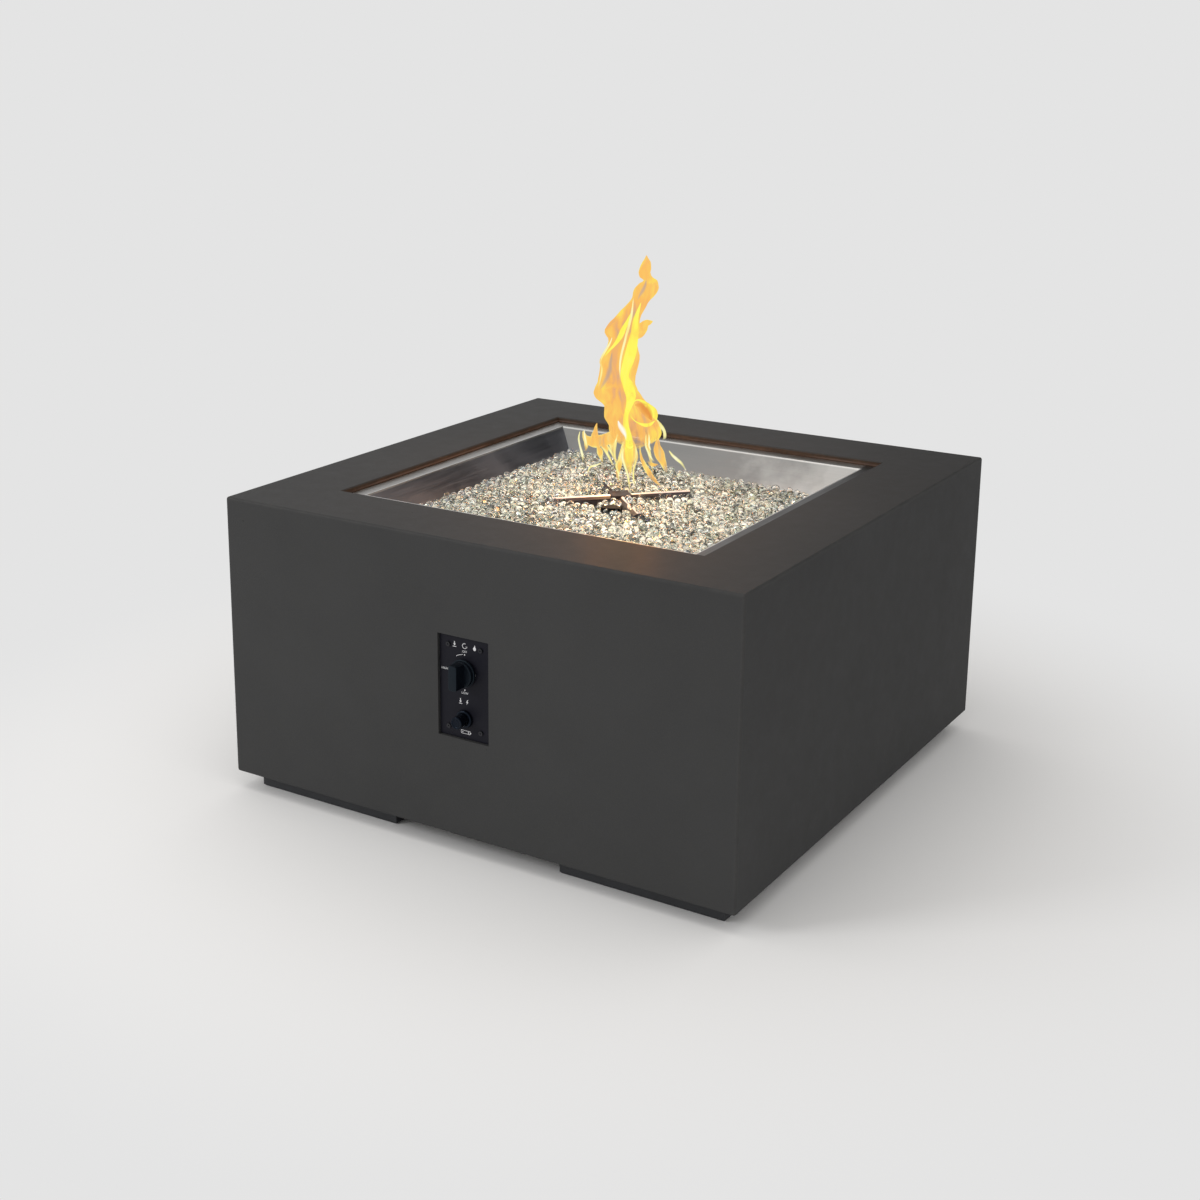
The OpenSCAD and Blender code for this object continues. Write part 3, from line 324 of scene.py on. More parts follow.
fire_lamp("fire_lamp_high", height=0.66, radius=0.06, watts=1.70, colour=(1.0, 0.36, 0.10))
fire_lamp("fire_lamp_low", height=0.535, radius=0.03, watts=0.50, colour=(1.0, 0.60, 0.30))
print("fire lamps are lit above", lit_above, "m")

# %% [markdown]
# Steel shows what it faces. Seen from the camera, the bowl's left wall mirrors the air behind the table,
# and in an empty white studio it would come out white. Photographers hang a black cloth there, a flag. This
# one is seen only by mirror rays, so that it takes no light away and leaves no shadow.

# %% Black flag
flag_middle = (0.65, 2.4, 1.95)
flag_faces = Vector((-0.16, -0.81, -0.57))
flag_half = (1.7, 1.25)


def new_finish(name, **values):
    """A material with its Principled shader, and the values that are the same all over."""
    finish = bpy.data.materials.new(name)
    finish.use_nodes = True
    shader = finish.node_tree.nodes["Principled BSDF"]
    fill(finish.node_tree, shader, {socket.replace("_", " "): value for socket, value in values.items()})
    return finish, finish.node_tree, shader


cloth, _, _ = new_finish("black_cloth", Base_Color=(0.02, 0.02, 0.022), Roughness=1.0)
flag_turn = flag_faces.to_track_quat("Z", "Y").to_matrix().to_4x4()
flag_place = Matrix.Translation(flag_middle) @ flag_turn @ Matrix.Diagonal((*flag_half, 1.0, 1.0))
flag = flat_sheet("black_flag", flag_place, cloth)
for rays in ("camera", "diffuse", "shadow", "transmission"):
    setattr(flag, "visible_" + rays, False)
print("black flag hung at", flag_middle)

# %% [markdown]
# ## Effects that many finishes share
# Cast concrete, powder coat and moulded plastic all have a fine grain. Steel, brass and zinc all have
# lines from rolling or brushing, and cloudy smudges. Each effect is a node group with named inputs, so
# that a finish places it with its own scale. A group gives out only values; the shader that uses them
# stays in the material.

# %% Clouds and grain
def new_group(name, values, results):
    """An empty node group: a place and some values go in, and values come out."""
    group = bpy.data.node_groups.new(name, "ShaderNodeTree")
    group.interface.new_socket("Vector", in_out="INPUT", socket_type="NodeSocketVector")
    for label in values:
        group.interface.new_socket(label, in_out="INPUT", socket_type="NodeSocketFloat")
    for label in results:
        group.interface.new_socket(label, in_out="OUTPUT", socket_type="NodeSocketFloat")
    return group, group.nodes.new("NodeGroupInput").outputs, group.nodes.new("NodeGroupOutput")


def use_group(tree, group, scale, **values):
    made = tree.nodes.new("ShaderNodeGroup")
    made.node_tree = group
    fill(tree, made, {"Vector": object_place(tree), "Scale": scale, **values})
    return made.outputs


def cloudy_tone_group():
    group, given, out = new_group("cloudy_tone", ["Scale"], ["Tone"])
    broad = noise_at(group, given["Vector"], given["Scale"], 6.0)
    small = noise_at(group, given["Vector"], times(group, given["Scale"], 4.3), 4.0)
    both = plus(group, times(group, broad, 0.65), times(group, small, 0.35))
    fill(group, out, {"Tone": remap(group, both, 0.32, 0.68)})
    return group


def fine_grain_group():
    group, given, out = new_group("fine_grain", ["Scale"], ["Height", "Specks"])
    sand = noise_at(group, given["Vector"], given["Scale"], 3.0)
    lumps = noise_at(group, given["Vector"], times(group, given["Scale"], 0.3), 2.0)
    height = plus(group, times(group, sand, 0.6), times(group, lumps, 0.4))
    fill(group, out, {"Height": height, "Specks": remap(group, sand, 0.58, 0.72)})
    return group


cloudy_tone = cloudy_tone_group()
fine_grain = fine_grain_group()
print("shared effects so far:", [g.name for g in bpy.data.node_groups])

# %% [markdown]
# A Voronoi pattern splits space into cells, each with a colour of its own by chance. That colour chooses
# the few cells that hold a pinhole, and its size. Brushed lines are noise pulled out along one axis: the
# faces' own direction says which.

# %% Pinholes and brushed lines
def pinholes_group():
    """Air bubbles left at the face of a casting: a few cells of a Voronoi pattern get one small pit."""
    group, given, out = new_group("pinholes", ["Scale", "Share"], ["Pits"])
    cells = wire(group, "TexVoronoi", {"Vector": given["Vector"], "Scale": given["Scale"]}).outputs
    pick = wire(group, "SeparateColor", {"Color": cells["Color"]}).outputs
    chosen = calc(group, "LESS_THAN", pick["Red"], given["Share"])
    reach = remap(group, pick["Green"], 0.0, 1.0, 0.03, 0.085)
    dent = minus(group, 1.0, calc(group, "DIVIDE", cells["Distance"], reach), True)
    fill(group, out, {"Pits": times(group, dent, chosen)})
    return group


def brushed_lines_group():
    """Fine lines along X on faces that look along Y or Z, and along Y on faces that look along X."""
    group, given, out = new_group("brushed_lines", ["Scale"], ["Lines", "Smudge"])
    facing = axes_of(group, wire(group, "NewGeometry").outputs["Normal"])
    side = calc(group, "GREATER_THAN", size_of(group, facing["X"]), size_of(group, facing["Y"]))
    along_x = wire(group, "VectorMath", {0: given["Vector"], 1: (0.02, 1.0, 1.0)}, operation="MULTIPLY")
    along_y = wire(group, "VectorMath", {0: given["Vector"], 1: (1.0, 0.02, 1.0)}, operation="MULTIPLY")
    ways = {0: side, 4: along_x.outputs[0], 5: along_y.outputs[0]}
    chosen = wire(group, "Mix", ways, data_type="VECTOR").outputs[1]
    lines = noise_at(group, chosen, given["Scale"], 3.0)
    smudge = noise_at(group, given["Vector"], 9.0, 5.0, 0.8)
    fill(group, out, {"Lines": remap(group, lines, 0.3, 0.7), "Smudge": remap(group, smudge, 0.35, 0.7)})
    return group


pinholes = pinholes_group()
brushed_lines = brushed_lines_group()
print("all shared effects:", [g.name for g in bpy.data.node_groups])

# %% [markdown]
# ## Cast concrete
# The block is charcoal concrete, cast in a mould: an even dark grey with soft clouds, a sandy grain and
# a few pinholes where air stayed at the face, painted dark inside as shade. Its edges are a touch paler,
# where the cement skin wears.
# How close a point is to an edge follows from its place alone: of its three distances to the faces of
# the block, the second smallest is the distance to the nearest edge. The rim inside the opening is darker
# and browner, with a thin paler streak just above the steel.

# %% Edges and rim of the concrete
_, shell_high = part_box("concrete_shell")
pan_low, pan_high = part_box("burner_pan")
opening_half = 0.327
rim_dark_brown = (0.028, 0.022, 0.018)
warm_brown = (0.069, 0.046, 0.032)
copper_streak = (0.112, 0.084, 0.073)


def edge_nearness(tree, axes, reach):
    """1 at the edges of the concrete block, falling to 0 within reach."""
    x_gap = minus(tree, shell_high.x, size_of(tree, axes["X"]))
    y_gap = minus(tree, shell_high.y, size_of(tree, axes["Y"]))
    z_gap = minus(tree, shell_high.z, axes["Z"])
    least = calc(tree, "MINIMUM", x_gap, y_gap)
    most = calc(tree, "MAXIMUM", x_gap, y_gap)
    second = calc(tree, "MAXIMUM", least, calc(tree, "MINIMUM", most, z_gap))
    return remap(tree, second, 0.0, reach, 1.0, 0.0)


def square_reach(tree, axes):
    """The larger of the sideways distances from the table's middle, the same all along a square ring."""
    return calc(tree, "MAXIMUM", size_of(tree, axes["X"]), size_of(tree, axes["Y"]))


def rim_share(tree, axes):
    """1 on the upright faces inside the opening, 0 elsewhere."""
    inside = remap(tree, square_reach(tree, axes), opening_half + 0.0005, opening_half + 0.002, 1.0, 0.0)
    below = remap(tree, axes["Z"], shell_high.z - 0.003, shell_high.z - 0.0012, 1.0, 0.0)
    return times(tree, inside, below)


def rim_colour(tree, axes, clouds, mottle):
    brown = mix_colour(tree, mottle, rim_dark_brown, warm_brown)
    over_pan = remap(tree, axes["Z"], pan_high.z + 0.0005, pan_high.z + 0.0015, 0.0, 0.9)
    under_top = remap(tree, axes["Z"], pan_high.z + 0.0030, pan_high.z + 0.0042, 1.0, 0.0)
    streak = times(tree, times(tree, over_pan, under_top), remap(tree, clouds, 0.3, 0.6))
    return mix_colour(tree, streak, brown, copper_streak)


print("opening of the concrete:", 2 * opening_half, "m wide")

# %% Concrete
cement_dark = (0.0385, 0.0389, 0.0396)
cement_pale = (0.0462, 0.0466, 0.0474)
dry_patch = (0.054, 0.054, 0.053)
sand_speck = (0.085, 0.083, 0.078)
worn_edge = (0.085, 0.083, 0.079)
pit_painted_shade = (0.008, 0.008, 0.008)


def bump(tree, shader, height, depth, strength=1.0):
    made = wire(tree, "Bump", {"Height": height, "Distance": depth, "Strength": strength})
    tree.links.new(made.outputs[0], shader.inputs["Normal"])


def concrete_finish():
    finish, tree, shader = new_finish("charcoal_concrete", Specular_IOR_Level=0.2, Coat_Roughness=0.32)
    axes = axes_of(tree, object_place(tree))
    clouds = use_group(tree, cloudy_tone, 2.6)["Tone"]
    mottle = use_group(tree, cloudy_tone, 38.0)["Tone"]
    grain = use_group(tree, fine_grain, 900.0)
    pits = use_group(tree, pinholes, 26.0, Share=0.16)["Pits"]
    colour = mix_colour(tree, clouds, cement_dark, cement_pale)
    colour = mix_colour(tree, times(tree, mottle, 0.35), colour, dry_patch)
    colour = mix_colour(tree, times(tree, grain["Specks"], 0.22), colour, sand_speck)
    worn = times(tree, edge_nearness(tree, axes, 0.006), remap(tree, mottle, 0.2, 0.9, 0.1, 0.42))
    colour = mix_colour(tree, worn, colour, worn_edge)
    colour = mix_colour(tree, rim_share(tree, axes), colour, rim_colour(tree, axes, clouds, mottle))
    # The top face has a real clear sealer coat, and its colour is darkened a little there as painted shade.
    sealed_and_shaded_top = remap(tree, axes["Z"], shell_high.z - 0.004, shell_high.z - 0.001)
    colour = mix_colour(tree, times(tree, sealed_and_shaded_top, 0.12), colour, grey(0.0))
    # painted shade inside the pinholes
    colour = mix_colour(tree, times(tree, pits, 1.6, True), colour, pit_painted_shade)
    roughness = remap(tree, mottle, 0.0, 1.0, 0.72, 0.86)
    coat = times(tree, sealed_and_shaded_top, 0.09)
    fill(tree, shader, {"Base Color": colour, "Roughness": roughness, "Coat Weight": coat})
    bump(tree, shader, minus(tree, times(tree, grain["Height"], 0.35), pits), 0.0009)
    return finish


concrete = concrete_finish()
print("finish made:", concrete.name)

# %% [markdown]
# ## Softened copies of solids
# A solid from construction drawings has knife-sharp edges, and real edges catch a thin line of light.
# The solid itself is never changed. A copy has its loose triangles merged, its flat faces joined and its
# sharp edges bevelled, and takes the solid's place in the picture.

# %% Bevelled copies
weld = 1e-6
flat_angle = math.radians(0.5)
sharp_angle = math.radians(40)


def finished_piece(name, bm, finish, body, smooth_angle=35.0):
    """Turns a bmesh into an object at the origin that rides on a body."""
    mesh = bpy.data.meshes.new(name)
    bm.to_mesh(mesh)
    bm.free()
    mesh.shade_smooth()
    mesh.set_sharp_from_angle(angle=math.radians(smooth_angle))
    mesh.materials.append(finish)
    piece = bpy.data.objects.new(name, mesh)
    scene.collection.objects.link(piece)
    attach(piece, body)
    return piece


def merged_copy(node):
    """A copy of a solid's mesh, with its loose triangles joined at their corners."""
    bm = bmesh.new()
    bm.from_mesh(nodes[node].data)
    bmesh.ops.remove_doubles(bm, verts=bm.verts, dist=weld)
    return bm


def bevel_sharp_edges(bm, width, segments):
    sharp = [e for e in bm.edges if e.is_manifold and e.calc_face_angle() > sharp_angle]
    bmesh.ops.bevel(bm, geom=sharp, offset=width, offset_type="OFFSET", affect="EDGES",
                    segments=segments, profile=0.5, material=-1, clamp_overlap=True)
    return len(sharp)


def softened(node, name, finish, width):
    bm = merged_copy(node)
    bmesh.ops.dissolve_limit(bm, angle_limit=flat_angle, verts=bm.verts, edges=bm.edges)
    edges = bevel_sharp_edges(bm, width, 2)
    piece = finished_piece(name, bm, finish, "table")
    piece.modifiers.new("even_shading", "WEIGHTED_NORMAL").keep_sharp = True
    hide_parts(node)
    print(name, "bevelled edges:", edges, "faces:", len(piece.data.polygons))


softened("concrete_shell", "concrete_body", concrete, 0.0012)

# %% [markdown]
# ## Moulded plastic, paint and rubber
# The feet, the knob and the igniter are moulded black plastic with a slight sparkle of grain, and the
# panel is steel with a black powder coat that leans to blue. They differ in colour, in shine and in how
# coarse the grain is, so one function makes them all. Soot, rubber, ceramic and cast metal are grained
# in the same way. The knob and the igniter also get a painted blue tint in their reflections.

# %% Plastics and paint
white = (1.0, 1.0, 1.0)


def moulded_finish(name, dark, pale, roughness, grain_scale, depth,
                   specular=0.5, painted_reflection_tint=white, metallic=0.0):
    """A grained surface: the colour drifts from dark to pale in clouds, and roughness drifts with it."""
    # The reflections take the tint given here: a painted blue on the knob and the igniter.
    finish, tree, shader = new_finish(
        name, Specular_IOR_Level=specular, Specular_Tint=painted_reflection_tint, Metallic=metallic)
    clouds = use_group(tree, cloudy_tone, 14.0)["Tone"]
    grain = use_group(tree, fine_grain, grain_scale)
    speck = [v * 2.2 for v in pale]
    colour = mix_colour(tree, clouds, dark, pale)
    colour = mix_colour(tree, times(tree, grain["Specks"], 0.15), colour, speck)
    shine = remap(tree, clouds, 0.0, 1.0, roughness - 0.06, roughness + 0.06)
    fill(tree, shader, {"Base Color": colour, "Roughness": shine})
    bump(tree, shader, grain["Height"], depth)
    return finish


foot_plastic = moulded_finish(
    "foot_plastic", (0.016, 0.017, 0.020), (0.026, 0.028, 0.032),
    roughness=0.55, grain_scale=700.0, depth=0.0003)
panel_coat = moulded_finish(
    "panel_powder_coat", (0.0058, 0.0058, 0.0105), (0.0080, 0.0080, 0.0135),
    roughness=0.52, grain_scale=1600.0, depth=0.00012, specular=0.16)
knob_plastic = moulded_finish(
    "knob_plastic", (0.0010, 0.0016, 0.0034), (0.0022, 0.0030, 0.0056),
    roughness=0.42, grain_scale=2200.0, depth=0.00004, specular=0.27, painted_reflection_tint=(0.60, 0.82, 1.0))
igniter_plastic = moulded_finish(
    "igniter_plastic", (0.0016, 0.0022, 0.0042), (0.0032, 0.0042, 0.0068),
    roughness=0.30, grain_scale=2200.0, depth=0.00004, specular=0.2, painted_reflection_tint=(0.50, 0.68, 1.0))
wire_rubber = moulded_finish(
    "wire_rubber", (0.012, 0.012, 0.013), (0.020, 0.020, 0.021),
    roughness=0.5, grain_scale=1500.0, depth=0.0001)
insulator_ceramic = moulded_finish(
    "insulator_ceramic", (0.70, 0.68, 0.62), (0.82, 0.80, 0.75),
    roughness=0.3, grain_scale=600.0, depth=0.00005)
hood_soot = moulded_finish(
    "hood_soot", (0.006, 0.006, 0.006), (0.014, 0.013, 0.012),
    roughness=0.7, grain_scale=900.0, depth=0.0001, specular=0.2)
cast_alloy = moulded_finish(
    "valve_cast_alloy", (0.34, 0.34, 0.34), (0.46, 0.46, 0.455),
    roughness=0.42, grain_scale=900.0, depth=0.00015, metallic=0.9)

for corner in ("front_left", "front_right", "rear_left", "rear_right"):
    softened(f"foot_{corner}", f"foot_block_{corner}", foot_plastic, 0.001)

# %% [markdown]
# ## Brushed metals
# Metals show their shape by what they mirror, so their colour matters less than their roughness. Brushing
# leaves fine lines that spread a highlight across them, and hands leave smudges. The bowl is satin
# stainless, and its colour carries painted light, told by where a point lies: a painted highlight on the
# bend below the flange, painted shade on the flange and on the back wall, and a painted blue-grey
# reflection on the left wall.

# %% Painted light on the bowl
flange_w = 0.026
bend = pan_high.x - flange_w
wall_seam = 0.001
left_wall_painted_reflection = (0.235, 0.262, 0.325)
bend_painted_highlight = (0.80, 0.80, 0.77)
steel_painted_shade = (0.03, 0.03, 0.032)


def bowl_painted_light(tree, tone):
    """Paints shade on the back wall and the flange, a blue-grey reflection on the left wall, a highlight on
    the bend.
    """
    axes = axes_of(tree, object_place(tree))
    mottle = use_group(tree, cloudy_tone, 11.0)["Tone"]
    blotchy = plus(tree, axes["X"], remap(tree, mottle, 0.0, 1.0, -0.09, 0.09))
    high = remap(tree, axes["Z"], pan_high.z - 0.0024, pan_high.z - 0.0014)
    flange = times(tree, high, remap(tree, square_reach(tree, axes), bend + 0.0012, bend + 0.0030))
    bright = times(tree, high, minus(tree, 1.0, flange))
    wall = minus(tree, 1.0, high)
    to_back = minus(tree, axes["Y"], size_of(tree, axes["X"]))
    to_left = minus(tree, times(tree, axes["X"], -1.0), size_of(tree, axes["Y"]))
    # painted shade on the back wall's left part, a painted blue-grey reflection on the left wall, and
    # painted shade on the flange, heaviest on the right
    back = times(tree, wall, remap(tree, to_back, -wall_seam, wall_seam))
    dull = times(tree, back, remap(tree, blotchy, 0.07, 0.27, 0.47, 0.0))
    left = times(tree, wall, remap(tree, to_left, -wall_seam, wall_seam, 0.0, 0.65))
    side_flange_painted_shade = times(tree, flange, remap(tree, axes["X"], 0.296, 0.299, 0.12, 0.8))
    tone = mix_colour(tree, left, tone, left_wall_painted_reflection)
    # painted highlight on the bend below the flange
    tone = mix_colour(tree, times(tree, bright, 0.7), tone, bend_painted_highlight)
    return mix_colour(tree, calc(tree, "MAXIMUM", dull, side_flange_painted_shade), tone, steel_painted_shade)


print("the bowl's flange starts", round(bend, 4), "m from the middle")

# %% Brushed metals
line_depth = 0.00003


def metal_finish(name, colour, roughness, line_scale, shade=None):
    finish, tree, shader = new_finish(name, Metallic=1.0)
    brushed = use_group(tree, brushed_lines, line_scale)
    smudged = [v * 0.62 for v in colour]
    polished = [v * 1.18 for v in colour]
    tone = mix_colour(tree, times(tree, brushed["Smudge"], 0.3), colour, smudged)
    tone = mix_colour(tree, times(tree, brushed["Lines"], 0.3), tone, polished)
    tone = shade(tree, tone) if shade else tone
    lined = remap(tree, brushed["Lines"], 0.0, 1.0, roughness - 0.06, roughness + 0.05)
    worn = plus(tree, lined, times(tree, brushed["Smudge"], 0.12))
    fill(tree, shader, {"Base Color": tone, "Roughness": worn})
    bump(tree, shader, brushed["Lines"], line_depth)
    return finish


bowl_steel = metal_finish(
    "bowl_satin_steel", (0.50, 0.50, 0.485), roughness=0.34, line_scale=420.0, shade=bowl_painted_light)
zinc_plate = metal_finish("zinc_plate", (0.58, 0.59, 0.60), roughness=0.36, line_scale=700.0)
spring_steel = metal_finish("spring_steel", (0.62, 0.62, 0.62), roughness=0.25, line_scale=900.0)
hose_steel = metal_finish("hose_steel", (0.60, 0.60, 0.59), roughness=0.3, line_scale=500.0)
brass = metal_finish("turned_brass", (0.66, 0.44, 0.17), roughness=0.3, line_scale=800.0)
copper = metal_finish("drawn_copper", (0.70, 0.36, 0.20), roughness=0.32, line_scale=800.0)
black_screws = metal_finish(
    "blackened_screw_steel", (0.045, 0.045, 0.050), roughness=0.38, line_scale=900.0)
print("brushed metals made, the last one", black_screws.name)

# %% [markdown]
# ## Steel that has been hot
# The burner stands in the fire. Its steel is stained straw, brown and blue in clouds round the middle,
# and a pale highlight is painted along the ridges of the pipes. Distance from the middle, shaken by the
# clouds, runs through a colour ramp.

# %% Heat-stained steel
arm_low, arm_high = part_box("burner_arms")
cold_steel = (0.06, 0.052, 0.055)
ridge_painted_highlight = (0.86, 0.78, 0.73)
stain_reach = 0.15
heat_stains = [(0.0, (0.022, 0.018, 0.018)), (0.3, (0.036, 0.027, 0.026)), (0.5, (0.034, 0.029, 0.036)),
               (0.75, (0.05, 0.042, 0.045)), (1.0, cold_steel)]


def heated_finish(name, ridge_highlight_share):
    finish, tree, shader = new_finish(name, Metallic=0.5)
    clouds = use_group(tree, cloudy_tone, 30.0)["Tone"]
    brushed = use_group(tree, brushed_lines, 500.0)
    out = remap(tree, from_middle(tree), 0.0, stain_reach, 0.0, 0.8)
    stain = ramp(tree, plus(tree, out, remap(tree, clouds, 0.0, 1.0, -0.15, 0.2)), heat_stains)
    height = axes_of(tree, object_place(tree))["Z"]
    # painted highlight along the tops of the pipes
    ridge = remap(tree, height, arm_high.z - 0.0020, arm_high.z - 0.0014, 0.0, ridge_highlight_share)
    stain = mix_colour(tree, ridge, stain, ridge_painted_highlight)
    fill(tree, shader, {"Base Color": stain, "Roughness": remap(tree, clouds, 0.0, 1.0, 0.36, 0.6)})
    bump(tree, shader, brushed["Lines"], 0.00005)
    return finish


burner_steel = heated_finish("burner_heat_stained_steel", ridge_highlight_share=0.0)
pipe_steel = heated_finish("pipe_steel_painted_highlight", ridge_highlight_share=1.0)
print("hot steel made:", burner_steel.name, pipe_steel.name)

# %% [markdown]
# ## The battery
# The igniter is fired by one small battery. Its sleeve is plain: a dark body with a copper-coloured band
# at one end, split by its place along the cell.

# %% Battery sleeve
band_start = 0.30
band_end = 0.31
band_copper = (0.55, 0.26, 0.10)


def battery_finish():
    finish, tree, shader = new_finish("battery_sleeve")
    low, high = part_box("igniter_battery")
    length = high.y - low.y
    along = axes_of(tree, object_place(tree))["Y"]
    band = remap(tree, along, low.y + length * band_start, low.y + length * band_end, 1.0, 0.0)
    clouds = use_group(tree, cloudy_tone, 60.0)["Tone"]
    sleeve = mix_colour(tree, clouds, (0.014, 0.014, 0.016), (0.022, 0.022, 0.024))
    sleeve = mix_colour(tree, band, sleeve, band_copper)
    fill(tree, shader, {"Base Color": sleeve, "Roughness": remap(tree, clouds, 0.0, 1.0, 0.26, 0.36)})
    return finish


battery_sleeve = battery_finish()
print("finish made:", battery_sleeve.name)

# %% [markdown]
# ## Finishes on the solids
# Most pieces inside are shown as they were constructed and only need a finish. A table of which finish
# goes on which solid is easier to check than the same line forty times.

# %% Finish of each solid
finish_of = {
    bowl_steel: ["burner_pan"],
    burner_steel: ["burner_hub"],
    pipe_steel: ["burner_arms", "burner_end_caps"],
    hood_soot: ["pilot_hood"],
    zinc_plate: ["foot_bolts", "burner_locknuts", "ignition_bracket", "bracket_screws", "bracket_nuts",
                 "valve_screws", "spark_electrode"],
    spring_steel: ["thermocouple_probe", "igniter_terminals"],
    hose_steel: ["gas_hose"],
    brass: ["foot_inserts", "panel_inserts", "burner_nipple", "gas_orifice", "burner_elbow", "hose_nuts",
            "magnet_unit", "thermocouple_nut", "gas_inlet_elbow", "valve_stem", "valve_plunger"],
    copper: ["thermocouple_lead"],
    cast_alloy: ["gas_valve_body", "air_mixer"],
    insulator_ceramic: ["electrode_insulator"],
    wire_rubber: ["ignition_wire"],
    panel_coat: ["control_panel"],
    black_screws: ["panel_screws"],
    igniter_plastic: ["igniter_nut"],
    battery_sleeve: ["igniter_battery"],
}
for finish, names in finish_of.items():
    for name in names:
        mesh_slots = nodes[name].data.materials
        mesh_slots.clear()
        mesh_slots.append(finish)
print("solids with a finish:", sum(len(names) for names in finish_of.values()))

# %% [markdown]
# ## Springs
# A coil spring gets shorter when what it carries is pushed in.


def sprung(node, name):
    piece = finished_piece(name, merged_copy(node), spring_steel, "table")
    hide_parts(node)
    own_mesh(piece)


sprung("stem_spring", "knob_spring_coil")
sprung("igniter_spring", "igniter_spring_coil")

# %% [markdown]
# ## Fire glass
# The bowl holds tumbled clear glass, drops of about 13 mm. Thousands of clear drops in a heap stop and
# bend so much light that nothing below the second layer can be made out. So two layers are real drops
# of glass, and below them lies one bed whose pattern stands for the rest: tinted cells of the same size,
# with painted sparkle in the bright ones and painted shade in the dark ones, which the drops above break up
# like lenses. The drops lie on a jittered honeycomb grid, and none is placed inside the burner, the hood or
# the wall of the bowl.

# %% Room in the bowl
glass_low, glass_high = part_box("fire_glass")
_, hub_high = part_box("burner_hub")
hood_low, hood_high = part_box("pilot_hood")
floor_z = glass_low.z
floor_half = 0.225
wall_slope = 74.0 / 62.0
arm_half_w = 0.009
arm_turn = math.radians(45)
arm_reach = math.hypot(arm_high.x, arm_high.y) - arm_half_w
nut_r = 0.016
hood_middle = (hood_low + hood_high) / 2
hood_turn = math.radians(20)
hood_half = Vector((0.016, 0.011))
sunk = 0.85


def wall_half(z):
    """Half the width of the bowl at a height."""
    return floor_half + (z - floor_z) * wall_slope


def turned_back(x, y, angle):
    c, s = math.cos(angle), math.sin(angle)
    return x * c + y * s, y * c - x * s


def clear_of_burner(x, y, z, r):
    """True where a drop of radius r touches neither the pipes, the hub nor the hood."""
    room = r * sunk
    a, b = (abs(v) for v in turned_back(x - hood_middle.x, y - hood_middle.y, hood_turn))
    if a < hood_half.x + room and b < hood_half.y + room:
        return False
    if z + r < arm_low.z:
        return math.hypot(x, y) > nut_r + r
    along, off = (abs(v) for v in turned_back(x, y, arm_turn))
    on_pipe = min(along, off) < arm_half_w + room and max(along, off) < arm_reach + room
    return not on_pipe and max(along, off) > hub_high.x / math.sqrt(2) + room


print("the bowl is", round(2 * wall_half(glass_high.z), 3), "m wide at the top of the glass")

# %% [markdown]
# The top of the heap is nearly level. It has a crown and soft hollows, climbs a little to the left, is
# heaped over the pipes and scraped away in front of the hub. Each of these is one term of a sum. The seeds
# make every run draw the same numbers.

# %% Lie of the glass
draw = random.Random(7)
noise.seed_set(7)
wall_top_z = 0.4570
bed_crown = 0.0075
bed_tilt = 0.0060
hollow_depth = 0.0018
hollows_per_m = 14
heap_rise = 0.0058
heap_reach = 0.045
bare_spot = Vector((-0.030, -0.052))
bare_drop = 0.0085
bare_reach = 0.040


def soft_hill(distance, reach):
    """1 at the middle of a hill, sloping to 0 at its reach."""
    return max(0.0, 1.0 - (distance / reach) ** 2) ** 2


def bed_level(x, y):
    """Height of the top of the drops."""
    out = max(abs(x), abs(y)) / glass_high.y
    crown = bed_crown * min(1.0, 2 - 2 * out)
    hollows = hollow_depth * noise.noise(Vector((x * hollows_per_m, y * hollows_per_m, 3.0)))
    slope = bed_tilt * x / glass_high.y
    along, off = (abs(v) for v in turned_back(x, y, arm_turn))
    past_end = max(0.0, max(along, off) - arm_reach)
    heap = heap_rise * soft_hill(math.hypot(min(along, off), past_end), heap_reach)
    bare = bare_drop * soft_hill(math.hypot(x - bare_spot.x, y - bare_spot.y), bare_reach)
    return wall_top_z + crown - slope + hollows + heap - bare


print("glass lies", round(bed_level(0.0, 0.0), 4), "m high in the middle")

# %% [markdown]
# Round things that are poured settle nearly in a honeycomb, so the drops start from one. Each is then
# shifted, lifted, squeezed and turned by chance, and one that would touch the wall or the burner is left
# out. Chance is drawn for those too, so that leaving one out doesn't change the rest.

# %% Places of the drops
drop_pitch = 0.0134
drop_sway = 0.0021
drop_lift = 0.0016
drop_r = (0.0060, 0.0077)
wall_room = 1.5
under_drop = 0.0085
under_shift = 0.4


def drop_at(x, y, z, r):
    """The matrix that turns a unit ball into one squeezed drop, and a number for its tint."""
    angle = draw.uniform(0, math.tau)
    turn = Matrix.Rotation(angle, 4, Vector((draw.random(), draw.random(), 0.3)).normalized())
    shape = Vector((draw.uniform(0.82, 1.08), draw.uniform(0.82, 1.08), draw.uniform(0.72, 0.95))) * r
    return Matrix.Translation((x, y, z)) @ turn @ Matrix.Diagonal((*shape, 1.0)), draw.random()


